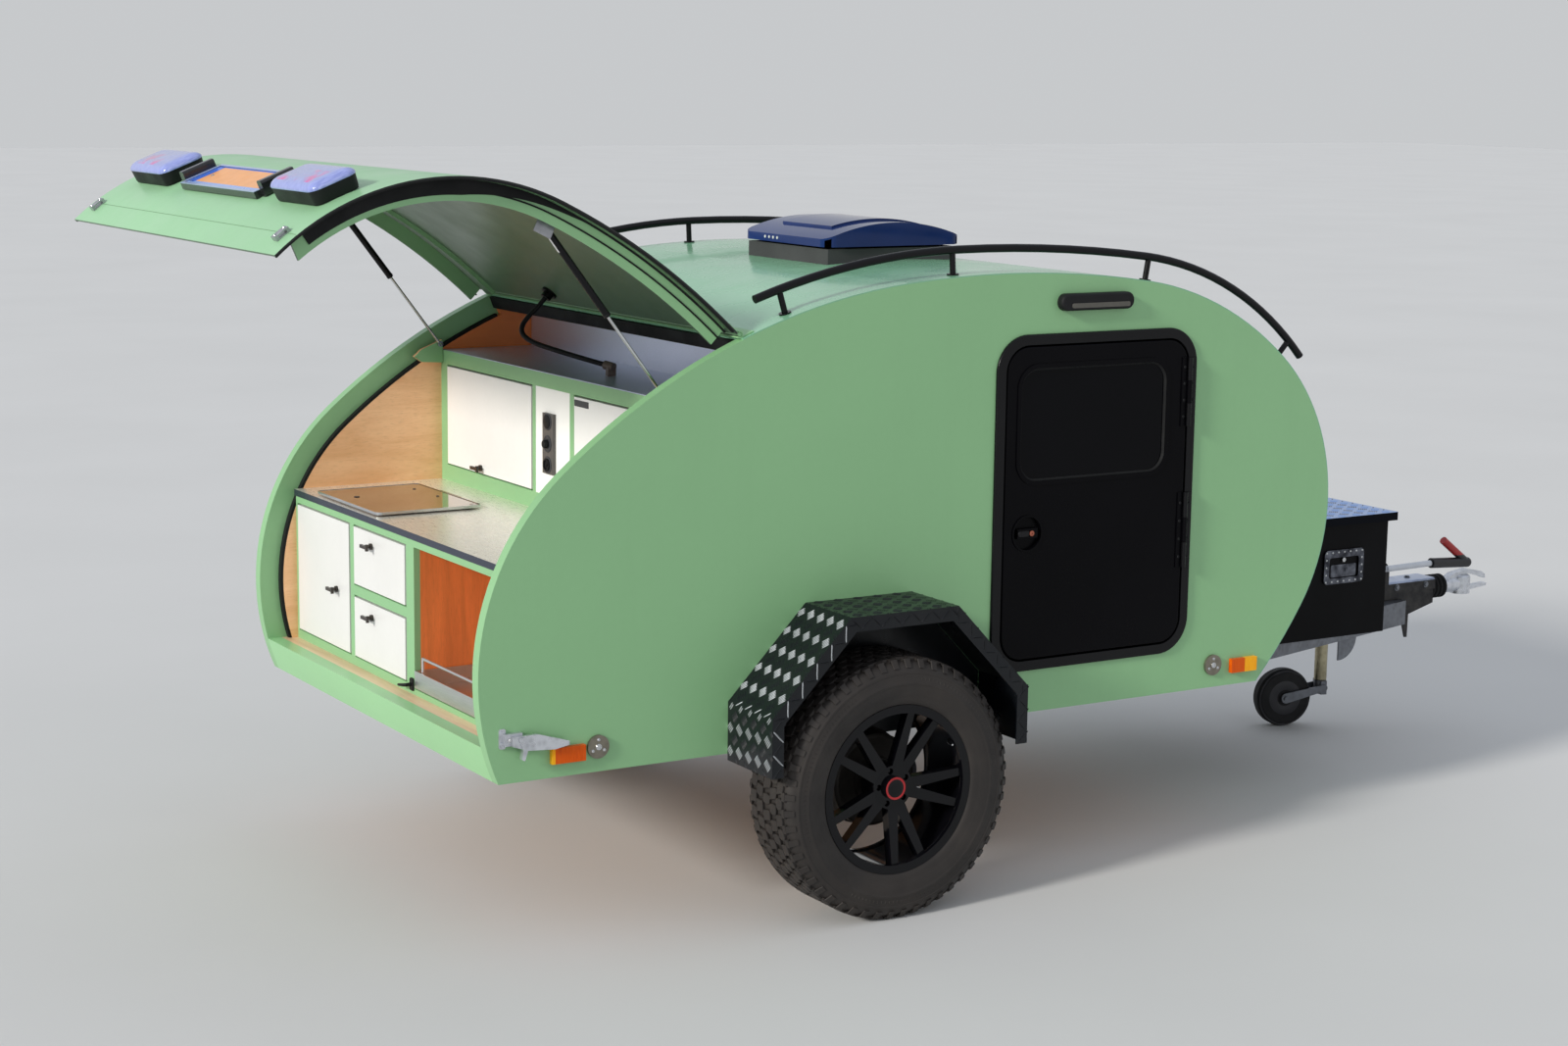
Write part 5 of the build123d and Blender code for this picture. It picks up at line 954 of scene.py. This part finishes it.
def dress_drum(side_name, hub):
    drum = Shape(drum_iron)
    drum.lathe([(24, 0), (118, 0), (128, 4), (128, 12), (122, 16), (122, 66), (118, 70), (112, 72), (96, 68),
                (64, 68), (60, 76), (24, 78)], hub @ move(0, 0, DRUM_BACK), 64)
    drum.finish(f"brake_drum_{side_name}", "trailer", "galvanised", 30)


for side_name, side in SIDES:
    hub = side_frame(WHEEL_X, WHEEL_Y, TYRE_R, side)
    dress_tyre(side_name, hub)
    dress_rim(side_name, side, hub)
    dress_drum(side_name, hub)

# Doors: hinge screws, glazing rubber and lock

DOOR_HINGE_X, HINGE_LEAF, HINGE_FACE = 2093.5, 16, 756.6
WINDOW_AT, LOCK_AT = (1771.5, 751.5, 1226.5), (1557, 758, 935)
GLAZING = ((494, 306, 56, -6), (494, 306, 56, 2.6), (488, 300, 53, 3.4), (479, 291, 49, -3))
LOCK_PROFILE = [(7.6, 0), (7.6, 1.8), (6.4, 2.6), (1.4, 2.6), (1.2, 1.2), (0.001, 1.2)]
for side_name, side in SIDES:
    leaf = Shape(black_plastic, black_rubber, copper)
    fixed = Shape(black_plastic)
    for middle, length in ((1290, 190), (905, 210)):
        for share in (-0.36, -0.12, 0.12, 0.36):
            z = middle + share * length
            leaf.screw(side_frame(DOOR_HINGE_X - HINGE_LEAF, HINGE_FACE, z, side), 4.2, 2.0)
            fixed.screw(side_frame(DOOR_HINGE_X + HINGE_LEAF, HINGE_FACE, z, side), 4.2, 2.0)
    leaf.index = 1
    rings = [[(x, y, level) for x, y in rounded(width, height, corner, 8)]
             for width, height, corner, level in GLAZING]
    leaf.strip(rings, side_frame(*WINDOW_AT, side), caps=False)
    lock = side_frame(*LOCK_AT, side)
    leaf.index = 0
    leaf.prism(rounded(36, 16, 6), -6, 1.5, lock @ move(-14, 0, 0), 1.5)
    leaf.index = 2
    leaf.lathe(LOCK_PROFILE, lock @ move(12, 0, 0), 20)
    leaf.finish(f"door_trim_{side_name}", f"door_{side_name}_body", "black_paint")
    fixed.finish(f"hinge_screws_{side_name}", "trailer", "black_paint")

# Galley: socket modules, blank label, tray catch, lid rim and cooker knobs

SOCKET_X, SOCKET_Y = 498, -14
SOCKETS = ((1209, 30, [(18.4, 1.4), (18.2, 3.4), (15, 4.4), (0.001, 5.0)]),
           (1149, 26, [(12, 1.4), (11.6, 11), (10, 13.4), (0.001, 14)]),
           (1092, 28, [(17.4, 1.4), (17, 6), (13.4, 6.2), (12.8, 2.2), (4, 2.2), (3.8, 5), (0.001, 5.2)]))
panel = Shape(black_plastic, dark_plastic)
for z, steps, profile in SOCKETS:
    spot = rear_frame(SOCKET_X, SOCKET_Y, z)
    panel.index = 1
    panel.lathe([(23.5, 0), (23.5, 1.6), (22, 2.4), (20, 2.4), (19.4, 1.4), (0.001, 1.4)], spot)
    panel.index = 0
    panel.lathe(profile, spot, steps)
for z in (1075, 1225):
    panel.screw(rear_frame(SOCKET_X, SOCKET_Y, z), 3, 1.4)
panel.finish("socket_modules", "trailer", "grey_plastic")

label = Shape(dark_plastic)
label.prism(rounded(80, 17, 2), 0, 1.4, rear_frame(505, -201, 1277), 0.5)
label.finish("blank_label", "flap_right_body", "grey_plastic")

catch = Shape(black_plastic)
catch.prism(rounded(22, 34, 5), 0, 5, rear_frame(55, -116, 556), 1.5)
catch.tube([(50, -116, 556), (36, -116, 556), (32, -104, 554), (31, -78, 550)], [5, 5, 4.6, 3.4], 10)
catch.finish("tray_catch", "trailer", "grey_plastic")

HOB_X, HOB_Y, HOB_Z = 220.5, 351.5, 963
rim = Shape(bright, dark_plastic)
outer = rounded(309.6, 433.6, 18, 6)
inner = rounded(303, 427, 15, 6)
rings = ((outer, 0.6), (outer, 8.2), (inner, 8.3), (inner, 8.0))
rim.strip([[(x, y, z) for x, y in ring] for ring, z in rings], move(HOB_X, HOB_Y, HOB_Z), caps=False)
rim.index = 1
for x, y, radius in ((125, 416, 8), (328, 327, 4.5), (324, 478, 5)):
    rim.lathe([(radius, 8), (radius, 8.6), (radius * 0.8, 9), (0.001, 9.1)], move(x, y, HOB_Z), 24)
rim.finish("lid_rim", "hob_lid_body", "steel_bright")

# Struts: blank label sleeve and seals

STRUT_TOP, STRUT_FOOT, STRUT_Y = (165, 1778), (490, 1356), 664
LABEL_AT, LABEL_START, LABEL_TURN, SEAL_AT = 22, math.radians(-10), math.radians(130), 277
for side_name, side in SIDES:
    top, foot = (Vector((x, side * STRUT_Y, z)) for x, z in (STRUT_TOP, STRUT_FOOT))
    along = (foot - top).normalized()
    sleeve = Shape(white_label, black_plastic)
    place = axes(top + along * LABEL_AT, (0, 1, 0), along) @ about(LABEL_START * side)
    sleeve.lathe([(9.05, 0), (9.5, 0.3), (9.5, 56), (9.05, 56.4)], place, 12, LABEL_TURN * side)
    sleeve.index = 1
    place = axes(top + along * SEAL_AT, (0, 1, 0), along)
    sleeve.lathe([(9.2, 0), (9.6, 0.6), (9.4, 5), (6.4, 7.6), (4.6, 8)], place, 24)
    sleeve.finish(f"strut_label_{side_name}", f"strut_cylinder_{side_name}_body", "grey_plastic")

# Hatch: rubber edge, tail lamps, plate and screws

RUBBER_START, RUBBER_END, RUBBER_STEPS = 49, 1382, 60
BAND_START, BAND_WIDE, BAND_THIN, BAND_DEPTH = 130, 560, 900, 36
LAMP_HEIGHT, LAMP_WIDTH, LAMP_CORNER, LAMP_BASE = 124, 282, 30, 35
EDGE_SECTION = ((736, 4.9), (745.6, 4.9), (745.9, 3.6), (745.6, 0.9), (744, 0.4), (736, 0.4))
LINE_SECTION = ((706.5, -24), (709.5, -24), (709.5, -28), (706.5, -28))
for side_name, side in SIDES:
    edge, band, line = [], [], []
    for number in range(RUBBER_STEPS + 1):
        distance = RUBBER_START + (RUBBER_END - RUBBER_START) * number / RUBBER_STEPS
        share = min(max((distance - BAND_WIDE) / (BAND_THIN - BAND_WIDE), 0), 1)
        low = -BAND_DEPTH + (BAND_DEPTH - 5) * share
        wide = ((706.5, -0.2), (710.5, -0.2), (710.5, low + 1), (709.5, low), (706.5, low))
        place = on_hatch(distance, 0)
        for rows, start, section in ((edge, 0, EDGE_SECTION), (band, BAND_START, wide),
                                     (line, BAND_WIDE, LINE_SECTION)):
            if distance > start:
                rows.append([place @ Vector((0, side * y, h)) for y, h in section])
    rubber = Shape(black_rubber)
    for rows in (edge, band, line):
        rubber.strip(rows)
    rubber.finish(f"hatch_rubber_{side_name}", "hatch", "rubber_black", 50)

LAMP_BODY = ((5, 0.2), (3, 6), (0, LAMP_BASE))
LAMP_DOME = ((-1, 0.1), (-1.4, 2), (-1.2, 4), (1, 8), (5, 12), (11, 15.5), (20, 18.2), (32, 19.6))
lamps = Shape(black_plastic, lamp_lens)
for side in (-1, 1):
    place = LAMP_FRAME @ move(0, side * LAMP_Y, 0)
    lamps.index = 0
    lamps.loft(LAMP_HEIGHT, LAMP_WIDTH, LAMP_CORNER, LAMP_BODY, place)
    lamps.index = 1
    lamps.loft(LAMP_HEIGHT, LAMP_WIDTH, LAMP_CORNER, LAMP_DOME, place @ move(0, 0, LAMP_BASE))
made = lamps.finish("tail_lamp_units", "hatch", "lamp_plastic", 40)
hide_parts("tail_lamps")

PLATE_LOW, PLATE_HIGH = 13.6, 15.4
plate = Shape(plate_orange, plate_blue, plate_pale, bright)
plate.prism(rounded(104, 512, 4), PLATE_LOW, PLATE_HIGH, LAMP_FRAME, 0.4)
for index, x, y, width, height in ((1, 4, 234, 94, 44), (1, 50, 0, 5, 510), (2, -45, 0, 14, 510)):
    plate.index = index
    plate.prism(rounded(width, height, 2), PLATE_LOW, PLATE_HIGH + 0.3, LAMP_FRAME @ move(x, y, 0), 0.2)
plate.index = 3
for y in (-200, 180):
    plate.screw(LAMP_FRAME @ move(0, y, PLATE_HIGH), 5, 2.4)
plate.finish("blank_plate", "hatch", "grey_plastic")

# Thin lines of darker green: painted shade in the fold lines of the hatch skin.
SEAM_STATIONS, SEAM_HALF, SEAM_END = (118, 1010), 0.8, 738
seam = Shape(seam_shade_green)
for seam_station in SEAM_STATIONS:
    line = [(-SEAM_HALF, -SEAM_END), (SEAM_HALF, -SEAM_END), (SEAM_HALF, SEAM_END), (-SEAM_HALF, SEAM_END)]
    seam.prism(line, 0, 0.25, on_hatch(seam_station, HATCH_RISE))
seam.finish("hatch_seams", "hatch", "green_paint")

STRIKE_STATION, STRIKE_Y = 108, 675
strikes = Shape(bright)
for side in (-1, 1):
    for x in (-14, 14):
        strikes.screw(on_hatch(STRIKE_STATION, HATCH_RISE) @ move(x, side * STRIKE_Y, 12), 5, 2.6)
strikes.finish("strike_screws", "hatch", "galvanised")

# Side walls: disc screws and latch bolts, porch lenses, and the vent's row of dots

DISC_FACE, LATCH_FACE = 753, 759
trim = Shape(bright)
for side in (-1, 1):
    for x, z in ((270, 504), (2225, 505)):
        trim.lathe([(5.2, 0), (7.6, 0.2), (8.2, 1.6), (7.6, 2.4), (5.4, 2.4), (5.2, 0.6)],
                   side_frame(x, DISC_FACE, z, side), 20)
        for turn in (90, 210, 330):
            dx, dz = 18 * math.cos(math.radians(turn)), 18 * math.sin(math.radians(turn))
            trim.screw(side_frame(x + dx, DISC_FACE, z + dz, side), 4.4, 2.2)
    for x in (26, 46):
        trim.bolt(side_frame(x, LATCH_FACE, 551, side), 4.6, 4.2)
trim.finish("wall_fasteners", "trailer", "steel_bright")

PORCH_LAMP_AT = (1772, 767.6, 1541)
lamp = Shape(lamp_clear)
for side in (-1, 1):
    lamp.prism(rounded(196, 13, 5, 6), 0, 2.2, side_frame(*PORCH_LAMP_AT, side), 1.0)
lamp.finish("porch_lenses", "trailer", "grey_plastic")

VENT_REAR, DOT_HEIGHT = 1243, 1683
vent = Shape(dot_light)
for y in (102, 80, 58, 36):
    vent.lathe([(4.2, 0), (4.0, 1.2), (0.001, 1.7)], rear_frame(VENT_REAR, y, DOT_HEIGHT), 16)
vent.finish("vent_dots", "vent_lid_body", "grey_plastic")

# Box: rivets round the paddle latch and its lock

PADDLE_X, PADDLE_FACE, PADDLE_LOCK = range(2912, 3057, 24), 456, (2984, 453, 696)
rivets = [(x, z) for x in PADDLE_X for z in (631, 721)]
rivets += [(x, z) for x in (PADDLE_X[0], PADDLE_X[-1]) for z in (653, 676, 699)]
box = Shape(bright)
for x, z in rivets:
    box.screw(side_frame(x, PADDLE_FACE, z, -1), 3.2, 1.6)
box.lathe([(7, 0), (7, 3), (5.6, 4), (1, 4), (0.8, 2.4), (0.001, 2.4)], side_frame(*PADDLE_LOCK, -1), 20)
box.finish("paddle_rivets", "trailer", "steel_bright")

# Coupling end: housing bolts and jockey wheel hub

HOUSING_HALF, HOUSING_MIDDLE, HOUSING_TOP = 48, 484, 503
end = Shape(galvanised)
for x in (3450, 3510, 3610, 3740):
    for side in (-1, 1):
        end.bolt(side_frame(x, HOUSING_HALF, HOUSING_MIDDLE, side), 8, 6)
for x in (3444, 3700):
    end.bolt(move(x, 0, HOUSING_TOP), 8, 6)
end.finish("housing_bolts", "trailer", "galvanised")

JOCKEY_Z, JOCKEY_TURN = 97, math.radians(15)
low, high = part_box("jockey_wheel")
middle = (low + high) / 2
wheel = Shape(rubber_grey, wheel_grey)
wheel.index = 1
for side in (-1, 1):
    place = axes((middle.x * 1000 - SHIFT, middle.y * 1000, JOCKEY_Z),
                 (math.cos(JOCKEY_TURN), -math.sin(JOCKEY_TURN), 0),
                 (side * math.sin(JOCKEY_TURN), side * math.cos(JOCKEY_TURN), 0))
    wheel.lathe([(90, 24.0), (92.4, 24.6), (92.6, 24.0)], place, 64)
    wheel.lathe([(12, 24.6), (26, 24.6), (30, 25.6), (56, 25.2), (60, 24.6)], place, 48)
wheel.finish("jockey_hub", "jockey_wheel_body", "grey_plastic")

# Conduit from the hatch to the shelf, ribbed like the real one

ROUTE = [(582.7, 170, 1524.1), (560.2, 170, 1498.7), (530, 171, 1474), (508, 167, 1448), (502, 145, 1426),
         (517, 106, 1409), (544, 54, 1397), (570, 0, 1386), (596, -53, 1376), (622, -108, 1366)]
RIB_STEP = 0.0011
RIB_RADII = (7.0, 7.0, 6.2, 6.1)


def drawn_route():
    """Points of the smooth curve that the route controls, in scene metres."""
    curve = bpy.data.curves.new("conduit_route", "CURVE")
    curve.dimensions = "3D"
    spline = curve.splines.new("NURBS")
    spline.points.add(len(ROUTE) - 1)
    for spot, (x, y, z) in zip(spline.points, ROUTE):
        spot.co = (drawn(x), y / 1000, z / 1000, 1)
    spline.order_u = 3
    spline.use_endpoint_u = True
    spline.resolution_u = 24
    guide = bpy.data.objects.new("conduit_route", curve)
    mesh = bpy.data.meshes.new_from_object(guide)
    points = [vertex.co.copy() for vertex in mesh.vertices]
    bpy.data.objects.remove(guide)
    bpy.data.meshes.remove(mesh)
    return points


line = drawn_route()
steps = [0.0]
for a, b in zip(line, line[1:]):
    steps.append(steps[-1] + (b - a).length)
total = steps[-1]


def along_line(distance):
    """The point at a distance along the conduit's line."""
    number = next((n for n in range(len(steps) - 1) if steps[n + 1] >= distance), len(steps) - 2)
    share = (distance - steps[number]) / max(steps[number + 1] - steps[number], 1e-9)
    return line[number].lerp(line[number + 1], min(max(share, 0), 1))


count = int(total / RIB_STEP)
path = [along_line(total * n / count) for n in range(count + 1)]
hose = Shape(black_plastic)
hose.tube([(p.x * 1000 - SHIFT, p.y * 1000, p.z * 1000) for p in path],
          [RIB_RADII[n % 4] for n in range(count + 1)], 18)
hose = hose.finish("conduit_hose", "trailer", "rubber_black", 60)
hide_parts("conduit")

# Camera, fitted to the photograph

scene = bpy.context.scene
scene.view_settings.view_transform = "Standard"

YAW, PITCH, ROLL = (math.radians(value) for value in (31.464, 9.540, -0.756))
CAMERA_X, CAMERA_Y, CAMERA_Z = -2719, -6495, 2153
FOCAL_PIXELS, PHOTO_WIDTH, SENSOR_WIDTH = 2759.3, 1600, 36
look = Vector((math.sin(YAW) * math.cos(PITCH), math.cos(YAW) * math.cos(PITCH), -math.sin(PITCH)))
level = Vector((math.cos(YAW), -math.sin(YAW), 0))
down = look.cross(level)
right = math.cos(ROLL) * level + math.sin(ROLL) * down
lower = -math.sin(ROLL) * level + math.cos(ROLL) * down
lens = bpy.data.cameras.new("camera")
lens.lens = FOCAL_PIXELS / PHOTO_WIDTH * SENSOR_WIDTH
lens.sensor_width = SENSOR_WIDTH
lens.clip_end = 200
camera = bpy.data.objects.new("camera", lens)
scene.collection.objects.link(camera)
camera.matrix_world = (move(drawn(CAMERA_X), CAMERA_Y / 1000, CAMERA_Z / 1000)
                       @ Matrix((right, -lower, -look)).transposed().to_4x4())
scene.camera = camera

# Floor, world and sun

FLOOR_HALF = 60
floor_shader = Shader("pale_floor", 0.75, specular=0.25)
floor_shader.colour(floor_shader.mottled(0.6, (0.60, 0.60, 0.59), (0.625, 0.625, 0.615)))
mesh = bpy.data.meshes.new("floor")
mesh.from_pydata([(x * FLOOR_HALF, y * FLOOR_HALF, 0) for x, y in ((-1, -1), (1, -1), (1, 1), (-1, 1))], [],
                 [(0, 1, 2, 3)])
mesh.materials.append(floor_shader.material)
floor = bpy.data.objects.new("floor", mesh)
scene.collection.objects.link(floor)


def make_world():
    """A soft sky that lights the trailer, with a plain pale backdrop that the camera sees."""
    world = bpy.data.worlds.new("studio")
    world.use_nodes = True
    tree = world.node_tree
    tree.nodes.clear()
    kinds = ("OutputWorld", "Background", "TexCoord", "SeparateXYZ", "ValToRGB", "Background", "LightPath",
             "MixShader")
    output, sky, coord, split, ramp, backdrop, ray, choice = (
        tree.nodes.new("ShaderNode" + kind) for kind in kinds)
    low, high = ramp.color_ramp.elements
    low.color = (0.86, 0.86, 0.85, 1)
    high.color = (0.78, 0.83, 0.92, 1)
    high.position = 0.6
    sky.inputs[1].default_value = 0.75
    backdrop.inputs[0].default_value = (0.572, 0.586, 0.600, 1)
    for source, target in ((coord.outputs["Generated"], split.inputs[0]), (split.outputs[2], ramp.inputs[0]),
                           (ramp.outputs[0], sky.inputs[0]), (ray.outputs["Is Camera Ray"], choice.inputs[0]),
                           (sky.outputs[0], choice.inputs[1]), (backdrop.outputs[0], choice.inputs[2]),
                           (choice.outputs[0], output.inputs[0])):
        tree.links.new(source, target)
    return world


scene.world = make_world()

SUN_AZIMUTH, SUN_HEIGHT = math.radians(11.5), math.radians(24)
sun = bpy.data.lights.new("key", "SUN")
sun.energy = 2.8
sun.angle = math.radians(9)
sun.color = (1.0, 0.965, 0.91)
key = bpy.data.objects.new("key", sun)
scene.collection.objects.link(key)
toward = Vector((-math.cos(SUN_AZIMUTH) * math.cos(SUN_HEIGHT), -math.sin(SUN_AZIMUTH) * math.cos(SUN_HEIGHT),
                 math.sin(SUN_HEIGHT)))
key.rotation_euler = toward.to_track_quat("Z", "Y").to_euler()
